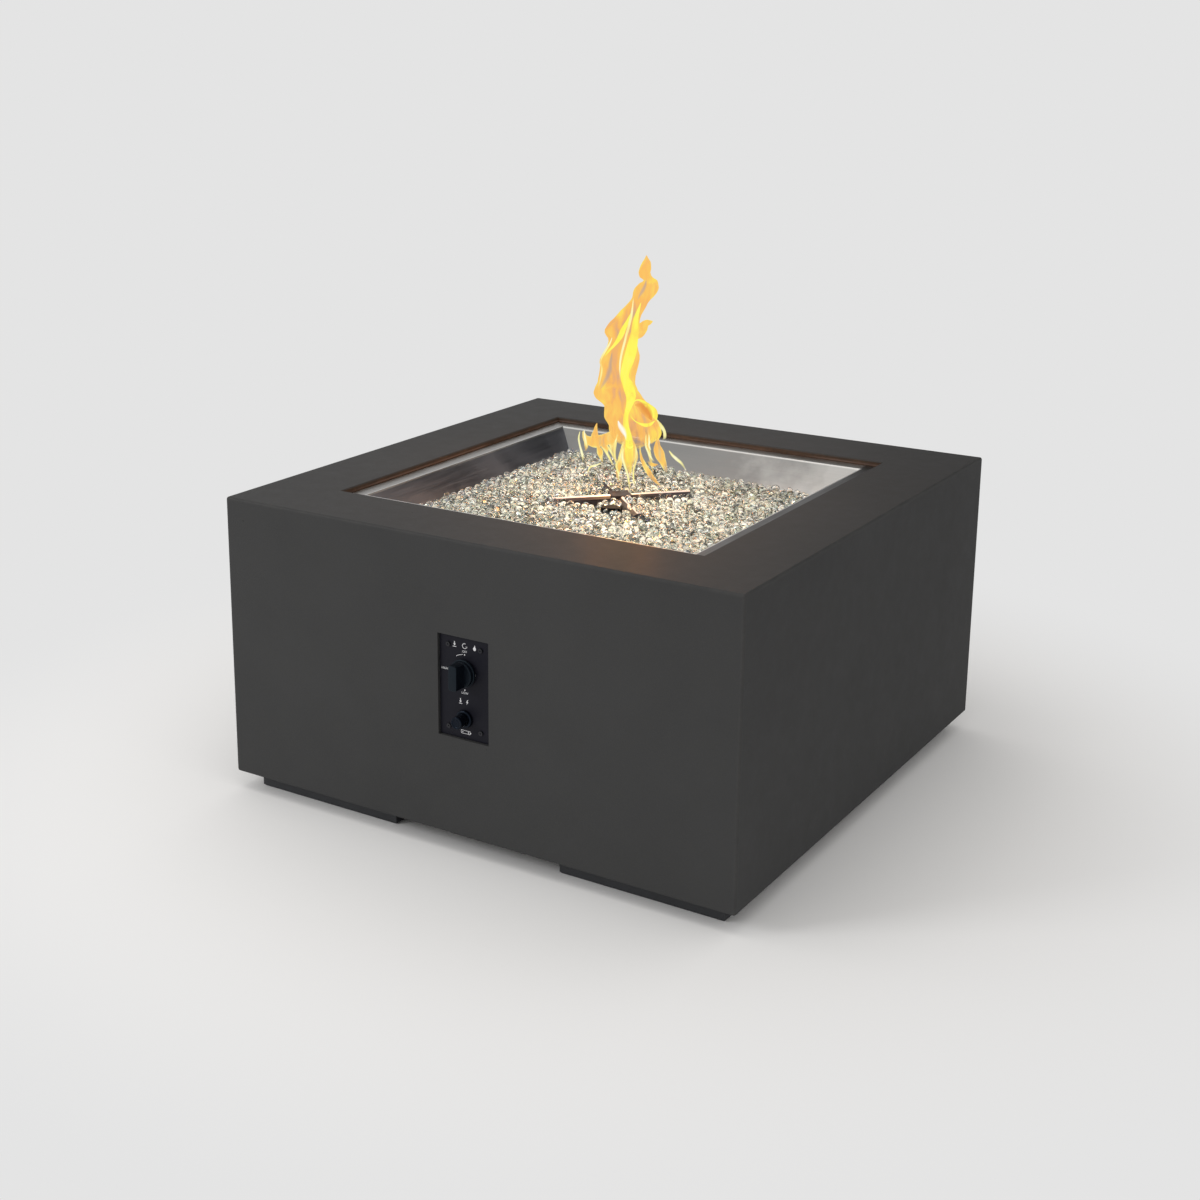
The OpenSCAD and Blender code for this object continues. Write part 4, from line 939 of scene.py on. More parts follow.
def drop_places(level_drop, row_shift):
    """One layer of drops on a jittered honeycomb grid."""
    places = []
    row_pitch = drop_pitch * math.sqrt(3) / 2
    half_rows = int(glass_high.y / row_pitch) + 2
    half_columns = int(glass_high.y / drop_pitch) + 2
    for row in range(-half_rows, half_rows + 1):
        for column in range(-half_columns, half_columns + 1):
            x = (column + 0.5 * (row % 2) + row_shift) * drop_pitch + draw.uniform(-drop_sway, drop_sway)
            y = (row + row_shift) * row_pitch + draw.uniform(-drop_sway, drop_sway)
            r = draw.uniform(*drop_r)
            z = bed_level(x, y) - r * sunk - level_drop + draw.uniform(-drop_lift, drop_lift)
            drop = drop_at(x, y, z, r)
            in_bowl = max(abs(x), abs(y)) < wall_half(z) - r * wall_room
            if in_bowl and clear_of_burner(x, y, z, r):
                places.append(drop)
    return places


print("a drop every", drop_pitch / MM, "mm, of radius", [r / MM for r in drop_r], "mm")

# %% [markdown]
# A few drops came to rest on the hood's roof and on the pipes, most of them on the pipe that points to the
# back left. They are placed one by one along each pipe, a little to either side of its ridge.

# %% Drops on the burner
roof_drop_r = (0.0046, 0.0056)
roof_drops = ((-0.0105, 0.0055), (0.0105, 0.0055))
pipe_drop_r = (0.0050, 0.0062)
pipe_drops = ((1, 0.036, 9), (-1, 0.022, 30))
pipe_run = 0.09
beside_ridge = (-0.006, -0.003, 0.001, 0.004, 0.007)
ridge_fall = 0.55


def drops_on_burner():
    places = []
    for across, back in roof_drops:
        x, y = turned_back(across, back, -hood_turn)
        r = draw.uniform(*roof_drop_r)
        places.append(drop_at(hood_middle.x + x, hood_middle.y + y, hood_high.z + r * 0.8, r))
    for pipe, first, drops in pipe_drops:
        for step in range(drops):
            off = draw.choice(beside_ridge)
            x, y = turned_back(pipe * (first + step * pipe_run / drops), off, arm_turn)
            r = draw.uniform(*pipe_drop_r)
            places.append(drop_at(x, y, arm_high.z - abs(off) * ridge_fall + r * sunk, r))
    return places


layers = {
    "glass_drops_top": drop_places(0.0, 0.0) + drops_on_burner(),
    "glass_drops_under": drop_places(under_drop, under_shift),
}
print("drops of glass:", {name: len(places) for name, places in layers.items()})

# %% [markdown]
# Each drop is the same ball of a few dozen faces, squeezed and turned its own way. Copying a finished
# ball into one growing mesh is much quicker than making thousands of objects, and the finished layer is
# a single piece. A number per drop, kept on its points, gives each its own faint tint.

# %% Drops of glass
glass_tints = [(0.0, (0.94, 0.98, 0.92)), (0.35, (0.98, 1.0, 0.97)), (0.6, (1.0, 0.98, 0.92)),
               (0.8, (0.98, 0.99, 1.0)), (0.93, (0.92, 0.93, 0.82)), (1.0, (1.0, 0.90, 0.80))]
glass_painted_rim_shade = (0.20, 0.21, 0.18)
smooth_all_over = 180.0


def glass_finish():
    finish, tree, shader = new_finish(
        "clear_fire_glass", Roughness=0.02, IOR=1.5, Transmission_Weight=1.0, Thin_Film_IOR=1.38)
    tint = wire(tree, "Attribute", attribute_name="tint").outputs["Fac"]
    # painted shade: each drop darkens towards its outline, by the angle it is seen at
    facing = wire(tree, "LayerWeight", {"Blend": 0.4}).outputs["Facing"]
    rim = remap(tree, facing, 0.5, 0.95, 0.0, 0.85)
    colour = mix_colour(tree, rim, ramp(tree, tint, glass_tints), glass_painted_rim_shade)
    film = remap(tree, tint, 0.6, 1.0, 0.0, 480.0)
    fill(tree, shader, {"Base Color": colour, "Thin Film Thickness": film})
    return finish


def join_in(whole, part):
    """Adds one bmesh to another and lets it go."""
    mesh = bpy.data.meshes.new("joined")
    part.to_mesh(mesh)
    part.free()
    whole.from_mesh(mesh)
    bpy.data.meshes.remove(mesh)


def layer_of_drops(name, places, finish):
    ball = bmesh.new()
    bmesh.ops.create_uvsphere(ball, u_segments=8, v_segments=6, radius=1.0)
    heap = bmesh.new()
    for place, _ in places:
        drop = ball.copy()
        bmesh.ops.transform(drop, matrix=place, verts=drop.verts)
        join_in(heap, drop)
    tints = heap.verts.layers.float.new("tint")
    points_each = len(ball.verts)
    for index, point in enumerate(heap.verts):
        point[tints] = places[index // points_each][1]
    ball.free()
    piece = finished_piece(name, heap, finish, "table", smooth_all_over)
    piece.visible_shadow = False
    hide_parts("fire_glass")
    print(name, "faces:", len(piece.data.polygons))


fire_glass = glass_finish()
for name, places in layers.items():
    layer_of_drops(name, places, fire_glass)

# %% [markdown]
# The bed under the drops fills the bowl like the solid it stands for. It starts as a grid, is cut to the
# bowl by scaling each side to the wall, and hangs down to the floor of the bowl as a closed skin. Its
# colour picks one tone per cell of a Voronoi pattern: a glass tint, a painted sparkle or a painted shade,
# and each cell is painted darker towards its border, as shade in the gaps between drops.

# %% Pattern of the bed
bed_cells = 98.0
bed_tints_sparkle_and_shade = [(0.0, (0.010, 0.012, 0.011)), (0.36, (0.042, 0.05, 0.042)), (0.44, (0.41, 0.46, 0.42)),
              (0.56, (0.80, 0.87, 0.83)), (0.75, (0.90, 0.98, 1.0)), (1.0, (0.93, 0.95, 0.90))]
bed_painted_gap_shade = (0.06, 0.055, 0.042)


def bed_finish():
    finish, tree, shader = new_finish("packed_glass_bed")
    pattern = {"Vector": object_place(tree), "Scale": bed_cells, "Randomness": 1.0}
    cells = wire(tree, "TexVoronoi", pattern).outputs
    pick = wire(tree, "SeparateColor", {"Color": cells["Color"]}).outputs["Red"]
    # painted shade in the gaps: each cell darkens towards its border
    rim = remap(tree, cells["Distance"], 0.55, 0.9)
    shade = mix_colour(tree, rim, ramp(tree, pick, bed_tints_sparkle_and_shade), bed_painted_gap_shade)
    fill(tree, shader, {"Base Color": shade, "Roughness": remap(tree, pick, 0.0, 1.0, 0.08, 0.3)})
    bump(tree, shader, cells["Distance"], 0.002, 0.6)
    return finish


packed_bed = bed_finish()
print("finish made:", packed_bed.name)

# %% Bed of glass
bed_drop = 0.0150
bed_gap = 0.0006
bed_squares = 64


def points_of(geom):
    return [g for g in geom if isinstance(g, bmesh.types.BMVert)]


def edges_among(geom, points):
    """The edges in an operator's result with both ends among some points."""
    return [g for g in geom if isinstance(g, bmesh.types.BMEdge) and all(v in points for v in g.verts)]


def bed_spot(u, v):
    """A point of the bed under the drops. Its edge lies on slanting walls, so its height sets its reach."""
    rough = bed_level(u * floor_half, v * floor_half)
    reach = wall_half(rough - bed_drop) - bed_gap
    z = bed_level(u * reach, v * reach) - bed_drop
    reach = wall_half(z) - bed_gap
    return Vector((u * reach, v * reach, z))


bm = bmesh.new()
bmesh.ops.create_grid(bm, x_segments=bed_squares, y_segments=bed_squares, size=1.0)
rim_edges = [e for e in bm.edges if e.is_boundary]
rim_places = {v: v.co.copy() for e in rim_edges for v in e.verts}
for point in bm.verts:
    point.co = bed_spot(point.co.x, point.co.y)
skirt = bmesh.ops.extrude_edge_only(bm, edges=rim_edges)["geom"]
skirt_points = points_of(skirt)
skirt_edges = edges_among(skirt, skirt_points)
for point in skirt_points:
    above = next(e.other_vert(point) for e in point.link_edges if e.other_vert(point) in rim_places)
    foot = rim_places[above] * (wall_half(floor_z) - bed_gap)
    point.co = Vector((foot.x, foot.y, floor_z))
bmesh.ops.edgeloop_fill(bm, edges=skirt_edges)
bmesh.ops.recalc_face_normals(bm, faces=bm.faces)
bed = finished_piece("glass_bed", bm, packed_bed, "table")
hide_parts("fire_glass")
print("bed faces:", len(bed.data.polygons))

# %% [markdown]
# ## Fire
# A gas flame is a thin glowing skin that you can see through. It is built from tongues: each follows a
# path of stations (height above the burner, sideways place and half width, in millimetres), is lofted
# ring by ring and is pinched shut at both ends. One wide tongue, the veil, gives the outline, slim ones
# inside it give the bright strands, and short ones lick up from the pipes.

# %% Path of a tongue
_, flame_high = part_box("flame")
burner_top = hub_high.z
sideways = Vector((math.cos(view_azimuth), math.sin(view_azimuth), 0.0))
forwards = Vector((math.sin(view_azimuth), -math.cos(view_azimuth), 0.0))
look_down = math.tan(view_elevation)
path_steps = 4


def smooth_path(stations):
    """Points on a smooth curve that passes through every station."""
    last = len(stations) - 1
    path = []
    for i in range(last):
        before, here, there, after = (Vector(stations[min(max(k, 0), last)]) for k in range(i - 1, i + 3))
        for j in range(path_steps):
            t = j / path_steps
            bend_2 = (2 * before - 5 * here + 4 * there - after) * t * t
            bend_3 = (3 * here - before - 3 * there + after) * t ** 3
            path.append(0.5 * (2 * here + (there - before) * t + bend_2 + bend_3))
    path.append(Vector(stations[last]))
    return path


print("fire stands on", round(burner_top, 4), "and reaches", round(flame_high.z, 4))

# %% [markdown]
# The veil is round, and a strand drawn on it has to follow its skin, or it would drown inside. So each step
# of a strand is moved out to the skin. A point that comes nearer is also raised, because the camera looks
# down a little, and so it keeps its place in the picture.

# %% Veil and what lies on it
veil = [(72, 20, 0.5), (82, 22, 15), (92, 24, 34), (104, 24, 43), (117, 22, 43), (131, 14, 43),
        (149, 8, 37), (163, -5, 39), (176, -8, 35), (191, -7, 30), (225, -2, 32), (254, 1, 23),
        (275, 0, 28), (300, 10, 20), (325, 28, 17), (338, 34, 20), (348, 39, 17), (356, 44, 9),
        (364, 35, 10), (385, 37, 6), (396, 36, 0.5)]
veil_round = 0.7
veil_path = smooth_path(veil)


def veil_skin(rise, side):
    """How far the skin of the veil lies in front of the fire's middle at one place."""
    if not veil_path[0].x < rise < veil_path[-1].x:
        return 0.0
    ring = min(veil_path, key=lambda step: abs(step.x - rise))
    return veil_round * math.sqrt(max(ring.z ** 2 - (side - ring.y) ** 2, 0.0))


def laid_on_veil(rise, side, depth, ahead):
    """Moves one step of a tongue out to the veil's skin, at the front or the back."""
    skin = veil_skin(rise, side)
    if ahead < 0:
        return rise, ahead - skin
    out = max(depth, skin + ahead)
    return rise + (out - depth) * look_down, out


print("the veil has", len(veil_path), "rings")

# %% [markdown]
# A tongue could be a curve with a round profile, but a curve's profile can't be flat, wide and narrow by
# turns. Here one ring is extruded again and again, and a matrix per step gives it its place, lean, width
# and thickness. Merging the first and the last ring to a point closes the skin.

# %% Loft of a tongue
tongue_sides = 14
thinnest = 0.15
wave_depth = 12.0
wave_rise = 42.0
wave_full = 120.0


def ring_place(path, i, depth, thickness, level, ahead):
    """The matrix that puts a unit circle at one step of a tongue, level or square to its path."""
    rise, side, half = path[i]
    if ahead:
        rise, depth = laid_on_veil(rise, side, depth, ahead)
    before, after = path[max(i - 1, 0)], path[min(i + 1, len(path) - 1)]
    run = Vector((0, 0, 1))
    if not level:
        run = sideways * (after.y - before.y) + Vector((0, 0, after.x - before.x))
    run.normalize()
    across = run.cross(forwards).normalized()
    depth += wave_depth * math.sin(rise / wave_rise) * min(1.0, rise / wave_full)
    half = max(half, thinnest) * MM
    middle = sideways * side * MM + forwards * depth * MM + Vector((0, 0, burner_top + rise * MM))
    columns = [across * half, forwards * half * thickness, run * half]
    return Matrix.Translation(middle) @ Matrix(columns).transposed().to_4x4()


def add_tongue(bm, stations, depth, level, thickness, ahead):
    path = smooth_path(stations)
    along, edge = bm.verts.layers.float["along"], bm.verts.layers.float["edge"]
    places = [ring_place(path, i, depth, thickness, level, ahead) for i in range(len(path))]
    ring = bmesh.ops.create_circle(bm, cap_ends=False, radius=1.0, segments=tongue_sides)["verts"]
    for point in ring:
        point[edge] = abs(point.co.x)
    bmesh.ops.transform(bm, matrix=places[0], verts=ring)
    first = ring
    edges = list(dict.fromkeys(e for v in ring for e in v.link_edges))
    for i in range(1, len(path)):
        grown = bmesh.ops.extrude_edge_only(bm, edges=edges)["geom"]
        ring = points_of(grown)
        edges = edges_among(grown, ring)
        bmesh.ops.transform(bm, matrix=places[i] @ places[i - 1].inverted(), verts=ring)
        for point in ring:
            point[along] = i / (len(path) - 1)
    bmesh.ops.pointmerge(bm, verts=ring, merge_co=places[-1].translation)
    bmesh.ops.pointmerge(bm, verts=first, merge_co=places[0].translation)


print("a tongue has", tongue_sides, "sides and", path_steps, "rings from one station to the next")

# %% [markdown]
# All tongues of one kind become one piece. How far along its tongue a point lies, and how near its side
# edge, are kept on the points, so that colour and clearness follow the tongue from every side. Noise moves
# the points a little, as air does.

# %% Pieces of fire
slow_waves = 45.0
quick_waves = 110.0


def flame_piece(name, tongues, finish, flicker, ahead=0.0, level=False, thickness=0.6):
    bm = bmesh.new()
    bm.verts.layers.float.new("along")
    bm.verts.layers.float.new("edge")
    for stations, depth in tongues:
        add_tongue(bm, stations, depth, level, thickness, ahead)
    along = bm.verts.layers.float["along"]
    for point in bm.verts:
        sway = noise.noise_vector(point.co * slow_waves) + 0.5 * noise.noise_vector(point.co * quick_waves)
        point.co += Vector((sway.x, sway.y, 0.4 * sway.z)) * flicker * (0.3 + point[along])
    bmesh.ops.recalc_face_normals(bm, faces=bm.faces)
    piece = finished_piece(name, bm, finish, "table", smooth_all_over)
    piece.visible_shadow = False
    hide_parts("flame")
    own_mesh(piece)
    print(name, "tongues:", len(tongues), "faces:", len(piece.data.polygons))
    return piece


print("the fire sinks to", round(pan_low.z, 4))

# %% [markdown]
# The glow is emission, and the Alpha of the shader says how much of the background shows through. Streaks
# come from a noise pattern pulled out upwards, and broad patches from a second one. Where both are strong
# the flame is yellow and solid; where they are weak it is a dull, smoky orange.

# %% Glow of the fire
def flame_finish(name, stops, solid, foot_fade, edge_gain, soft=0.0):
    """A glow: stops are its colours from cool to hot, and solid is how much it covers, cool and hot."""
    finish, tree, shader = new_finish(
        name, Roughness=1.0, Specular_IOR_Level=0.0, Emission_Strength=1.0, Base_Color=grey(0.0))
    along = wire(tree, "Attribute", attribute_name="along").outputs["Fac"]
    edge = wire(tree, "Attribute", attribute_name="edge").outputs["Fac"]
    fine = noise_at(tree, object_place(tree, (1.0, 1.0, 0.22)), 75.0, 3.0, 0.7)
    broad = noise_at(tree, object_place(tree, (1.0, 1.0, 0.5)), 30.0, 1.0)
    streak = remap(tree, fine, 0.36, 0.64)
    patch = remap(tree, broad, 0.38, 0.56)
    rim = times(tree, calc(tree, "POWER", edge, 6.0), edge_gain)
    both = plus(tree, times(tree, streak, 0.5), times(tree, patch, 0.4))
    heat = plus(tree, both, rim, True)
    body = times(tree, remap(tree, heat, 0.0, 0.5, *solid), remap(tree, edge, 0.1, 0.95, 1.0, 1.0 - soft))
    ragged = plus(tree, along, remap(tree, streak, 0.0, 1.0, -0.35 * foot_fade, 0.25 * foot_fade))
    foot = remap(tree, ragged, 0.0, foot_fade)
    tip = remap(tree, along, 0.92, 1.0, 1.0, 0.7)
    alpha = times(tree, times(tree, body, foot), tip)
    fill(tree, shader, {"Emission Color": ramp(tree, heat, stops), "Alpha": alpha})
    return finish


print("flame shader ready")

# %% Colours of the fire
smoky = (0.56, 0.39, 0.27)
dull_orange = (0.84, 0.43, 0.18)
orange = (0.97, 0.51, 0.13)
amber = (0.98, 0.62, 0.14)
gold = (1.0, 0.76, 0.12)
deep_yellow = (1.0, 0.86, 0.12)
yellow = (1.0, 0.94, 0.12)
bright_yellow = (1.0, 0.97, 0.2)
pale_yellow = (0.99, 0.92, 0.36)
white_hot = (1.0, 0.98, 0.74)

veil_glow = flame_finish(
    "flame_veil", [(0.0, smoky), (0.15, dull_orange), (0.4, orange), (0.75, amber), (1.0, gold)],
    solid=(0.80, 0.97), foot_fade=0.19, edge_gain=0.35)
core_glow = flame_finish(
    "flame_core", [(0.0, gold), (0.12, deep_yellow), (0.3, yellow), (1.0, bright_yellow)],
    solid=(0.85, 1.0), foot_fade=0.20, edge_gain=-0.25)
line_glow = flame_finish(
    "flame_lines", [(0.0, amber), (0.4, pale_yellow), (1.0, white_hot)],
    solid=(0.70, 1.0), foot_fade=0.3, edge_gain=0.0, soft=0.5)
lick_glow = flame_finish(
    "flame_licks", [(0.0, smoky), (0.3, orange), (0.6, amber), (1.0, pale_yellow)],
    solid=(0.45, 0.92), foot_fade=0.45, edge_gain=0.45)
white_glow = flame_finish(
    "flame_white", [(0.0, (1.0, 0.93, 0.5)), (0.3, (1.0, 0.98, 0.85)), (1.0, (1.0, 1.0, 0.92))],
    solid=(0.9, 1.0), foot_fade=0.3, edge_gain=-0.3, soft=0.85)
deep_glow = flame_finish(
    "flame_deep", [(0.0, (0.76, 0.27, 0.05)), (1.0, (0.90, 0.40, 0.09))],
    solid=(0.8, 0.9), foot_fade=0.3, edge_gain=0.0, soft=0.9)
smoke_glow = flame_finish(
    "flame_smoke", [(0.0, (0.48, 0.36, 0.28)), (1.0, (0.66, 0.45, 0.30))],
    solid=(0.5, 0.7), foot_fade=0.5, edge_gain=0.0, soft=1.0)
print("glows made:", [m.name for m in bpy.data.materials if m.name.startswith("flame")])

# %% [markdown]
# The veil is made first. Each lamp of the fire is tied to a point of it by vertex parenting: the lamp then
# follows that point wherever the squash takes it, and goes out when it has sunk into the glass.

# %% Veil with its lamps
lamp_sunk = 0.015


def hang_on_fire(lamp, piece):
    """Ties a lamp to a point of the fire just below it."""
    below = lamp.location - Vector((0, 0, lamp_sunk))
    nearest = min(piece.data.vertices, key=lambda point: (point.co - below).length)
    lamp.parent = piece
    lamp.parent_type = "VERTEX"
    lamp.parent_vertices = (nearest.index, 0, 0)
    lamp.location = lamp.location - nearest.co


outline = flame_piece("flame_outline", [(veil, 0)], veil_glow, 0.0030, level=True, thickness=veil_round)
for name in ("fire_lamp_high", "fire_lamp_low"):
    hang_on_fire(bpy.data.objects[name], outline)

# %% Strands in the veil
core = [(28, 16, 0.5), (51, 13, 5), (73, 13, 7), (95, 11, 6), (116, 6, 5), (133, 6, 4), (147, 11, 5),
        (163, 14, 8), (180, 10, 9), (197, 4, 7), (231, 12, 9), (264, 18, 7), (295, 20, 4), (322, 28, 0.5)]
wedge = [(231, -29, 0.5), (241, -21, 1.5), (251, -13, 2.5), (264, -5, 4), (279, 1, 4), (294, 8, 2),
         (305, 12, 0.5)]
shoulder = [(146, 12, 0.5), (157, 21, 1), (157, 32, 2), (148, 44, 5), (138, 53, 6.5), (126, 57, 0.5)]
underside = [(137, 12, 0.5), (129, 16, 0.7), (122, 25, 1), (118, 37, 3), (120, 46, 2.5), (126, 54, 0.5)]
white_spot = [(95, 6, 0.5), (103, 5, 2.5), (112, 1, 5), (119, -4, 4), (127, -7, 0.5)]
hollow = [(149, 20, 0.5), (149, 29, 6), (143, 37, 9), (134, 44, 7), (125, 48, 0.5)]
wisp = [(256, 18, 0.5), (266, 26, 8), (277, 32, 9), (285, 38, 6), (287, 44, 4), (289, 49, 0.5)]
front_strands = [(core, 8), (wedge, 12), (shoulder, 12), (underside, 12)]
flame_piece("flame_strands", front_strands, core_glow, 0.0008, ahead=6)
flame_piece("flame_strands_back", [(core, 0), (wedge, 0)], core_glow, 0.0008, ahead=-6)
flame_piece("flame_white_spot", [(white_spot, 18)], white_glow, 0.0004, ahead=10)
flame_piece("flame_hollow", [(hollow, 8)], deep_glow, 0.0008, ahead=2)
flame_piece("flame_wisp", [(wisp, -4)], veil_glow, 0.0012)

# %% [markdown]
# Thin pale lines run up the skin of the veil, short licks rise from the pipes round its foot, and two
# greyer patches show where the gas is nearly burnt.

# %% Lines, licks and smoke
lines = [
    ([(180, -3, 0.5), (220, -4, 1.5), (259, 3, 2), (299, 12, 2), (330, 15, 0.5)], 16),
    ([(163, -42, 0.5), (192, -35, 1.5), (209, -33, 1.5), (224, -35, 1.5), (249, -22, 1.5),
      (262, -18, 0.5)], 6),
    ([(94, 68, 0.5), (98, 71, 2.5), (108, 70, 2.5), (117, 65, 2.5), (126, 57, 0.5)], 4),
    ([(33, 108, 0.5), (46, 100, 2), (54, 91, 2.5), (61, 84, 2), (69, 78, 0.5)], -22),
    ([(59, 55, 0.5), (66, 49, 1.5), (75, 44, 1.5), (88, 39, 1.5), (105, 38, 0.5)], 16),
    ([(77, 49, 0.5), (83, 46, 1.5), (93, 44, 1.5), (104, 43, 0.5)], 10),
    ([(17, 24, 0.5), (32, 20, 1.5), (47, 20, 1.5), (60, 23, 2), (73, 25, 2), (90, 21, 0.5)], 24),
    ([(12, 14, 0.5), (29, 12, 1.5), (44, 9, 1.5), (59, 4, 2), (74, 1, 2), (91, 4, 0.5)], 30),
    ([(26, -3, 0.5), (39, -4, 1.5), (54, -8, 2), (67, -3, 2), (89, 2, 0.5)], 20),
    ([(49, -12, 0.5), (59, -16, 1.5), (69, -21, 2), (79, -27, 2), (86, -34, 0.5)], 16),
    ([(58, -11, 0.5), (69, -14, 1.5), (80, -20, 2), (87, -25, 0.5)], 8),
    ([(44, -6, 0.5), (53, -7, 1), (70, -11, 2), (87, -11, 2), (105, -8, 0.5)], 14),
    ([(78, -56, 0.5), (89, -58, 2), (101, -60, 1.5), (111, -61, 0.5)], 6),
    ([(58, -63, 0.5), (71, -64, 2), (86, -68, 1.5), (99, -70, 1.5), (111, -68, 0.5)], 16),
    ([(39, -56, 0.5), (52, -52, 1.5), (56, -41, 1.5), (60, -33, 0.5)], 26),
]
licks = [
    ([(26, 79, 0.5), (39, 75, 3), (50, 71, 5), (66, 64, 8), (81, 60, 4), (94, 62, 0.5)], -14),
    ([(13, 69, 0.5), (20, 62, 1.5), (29, 54, 3), (41, 45, 4), (55, 37, 3.5), (70, 32, 2),
      (87, 30, 0.5)], 14),
    ([(55, 44, 0.5), (50, 50, 3), (48, 56, 3), (49, 63, 0.5)], -6),
    ([(100, 5, 0.5), (98, -11, 10), (95, -22, 10), (93, -32, 9), (91, -43, 11), (93, -52, 8),
      (101, -60, 0.5)], 2),
    ([(86, -45, 0.5), (98, -43, 6), (110, -41, 3.5), (121, -40, 0.5)], 4),
    ([(74, -58, 0.5), (87, -57, 4), (98, -59, 4), (108, -62, 0.5)], 3),
    ([(66, -22, 0.5), (78, -25, 4), (90, -28, 6), (104, -26, 0.5)], 5),
    ([(55, -30, 0.5), (63, -32, 2.5), (74, -35, 5), (87, -41, 0.5)], 4),
    ([(22, 15, 0.5), (45, 14, 6), (62, 13, 11), (80, 13, 13), (104, 12, 0.5)], 2),
    ([(62, -10, 0.5), (78, -13, 5), (96, -14, 8), (112, -10, 0.5)], -6),
    ([(80, 52, 0.5), (94, 54, 9), (108, 56, 12), (122, 52, 0.5)], -8),
    ([(20, 58, 0.5), (66, 48, 3), (88, 42, 4), (104, 38, 0.5)], -34),
    ([(6, 0, 0.5), (24, -2, 3), (46, 2, 4), (70, 6, 4), (92, 8, 0.5)], -38),
]
smoke = [
    ([(174, -38, 0.5), (185, -32, 3), (198, -24, 5), (212, -20, 5), (229, -18, 3), (240, -17, 0.5)], 22),
    ([(327, 22, 0.5), (334, 25, 2.5), (342, 30, 4), (350, 34, 3), (359, 36, 0.5)], 16),
]
flame_piece("flame_lines", lines, line_glow, 0.0006, ahead=8)
flame_piece("flame_licks", licks, lick_glow, 0.0020)
flame_piece("flame_smoke", smoke, smoke_glow, 0.0010, ahead=4)

# %% [markdown]
# ## The gas knob
# The knob is a turned skirt and shoulder with a bar across it to grip. The skirt is one outline spun about
# the knob's axis. The bar is a disc with two sides cut off, pulled forwards and bevelled, so that its
# ends follow the round shoulder.

# %% Skirt of the knob
knob_low, knob_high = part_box("control_knob")
knob_middle = (knob_low + knob_high) / 2
knob_back, knob_front = knob_high.y, knob_low.y
skirt_r = (knob_high.x - knob_low.x) / 2
skirt_depth = 0.0032
skirt_round = 0.0008
step_depth = 0.0042
flare = 0.0006
shoulder_r = skirt_r - 0.002
shoulder_y = knob_back - 0.010
shoulder_round = 0.0015
turned_smooth = 30.0


def spun(outline, centre, steps=72):
    """Spins (radius, y) points about the Y axis through centre into a closed turned shape."""
    bm = bmesh.new()
    points = [bm.verts.new((centre.x + r, y, centre.z)) for r, y in outline]
    edges = [bm.edges.new(pair) for pair in zip(points, points[1:])]
    bmesh.ops.spin(bm, geom=points + edges, cent=centre, axis=(0, 1, 0), angle=math.tau, steps=steps,
                   use_merge=True, use_duplicate=False)
    bmesh.ops.remove_doubles(bm, verts=bm.verts, dist=weld)
    bmesh.ops.recalc_face_normals(bm, faces=bm.faces)
    return bm


def arc(centre_r, centre_y, radius, start, end, steps=5):
    """Outline points on a quarter round or so, angles in degrees from +radius towards +y."""
    turns = [math.radians(start + (end - start) * i / steps) for i in range(steps + 1)]
    return [(centre_r + radius * math.cos(t), centre_y + radius * math.sin(t)) for t in turns]


knob_outline = [(0.0, knob_back), (skirt_r - flare, knob_back)]
knob_outline += arc(skirt_r - skirt_round, knob_back - skirt_depth, skirt_round, 0, -90)
knob_outline += [(shoulder_r + flare, knob_back - step_depth)]
knob_outline += arc(shoulder_r - shoulder_round, shoulder_y + shoulder_round, shoulder_round, 0, -90)
knob_outline += [(0.0, shoulder_y)]
knob_shape = spun(knob_outline, knob_middle)
print("skirt faces:", len(knob_shape.faces))

# %% [markdown]
# The grip is cut from a disc and not from a box, so that its ends keep the roundness of the shoulder under
# it. It narrows a little towards the front, as moulded pieces do so that they leave the mould.

# %% Grip of the knob
grip_half = 0.008
grip_gap = 0.0004
grip_foot = shoulder_y + 0.002
grip_taper = 0.9
grip_round = 0.0014

grip = bmesh.new()
bmesh.ops.create_circle(grip, cap_ends=True, radius=shoulder_r - grip_gap, segments=96)
bmesh.ops.rotate(grip, verts=grip.verts, cent=(0, 0, 0), matrix=Matrix.Rotation(math.radians(90), 3, "X"))
for side in (-1, 1):
    everything = grip.verts[:] + grip.edges[:] + grip.faces[:]
    bmesh.ops.bisect_plane(grip, geom=everything, plane_co=(side * grip_half, 0, 0), plane_no=(side, 0, 0),
                           clear_outer=True)
bmesh.ops.translate(grip, verts=grip.verts, vec=(knob_middle.x, grip_foot, knob_middle.z))
front_points = points_of(bmesh.ops.extrude_face_region(grip, geom=grip.faces[:])["geom"])
bmesh.ops.translate(grip, verts=front_points, vec=(0, knob_front - grip_foot, 0))
for point in front_points:
    point.co.x = knob_middle.x + (point.co.x - knob_middle.x) * grip_taper
bmesh.ops.recalc_face_normals(grip, faces=grip.faces)
bevel_sharp_edges(grip, grip_round, 4)
join_in(knob_shape, grip)
knob = finished_piece("gas_knob", knob_shape, knob_plastic, "knob", turned_smooth)
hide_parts("control_knob")
print("knob faces:", len(knob.data.polygons), "depth", round(knob_back - knob_front, 4))

# %% [markdown]
# ## The igniter
# A collar holds the igniter in the panel, and a sprung button slides in it. Both are turned shapes. The
# button's face is slightly domed with a groove round it, which catches a ring of light.

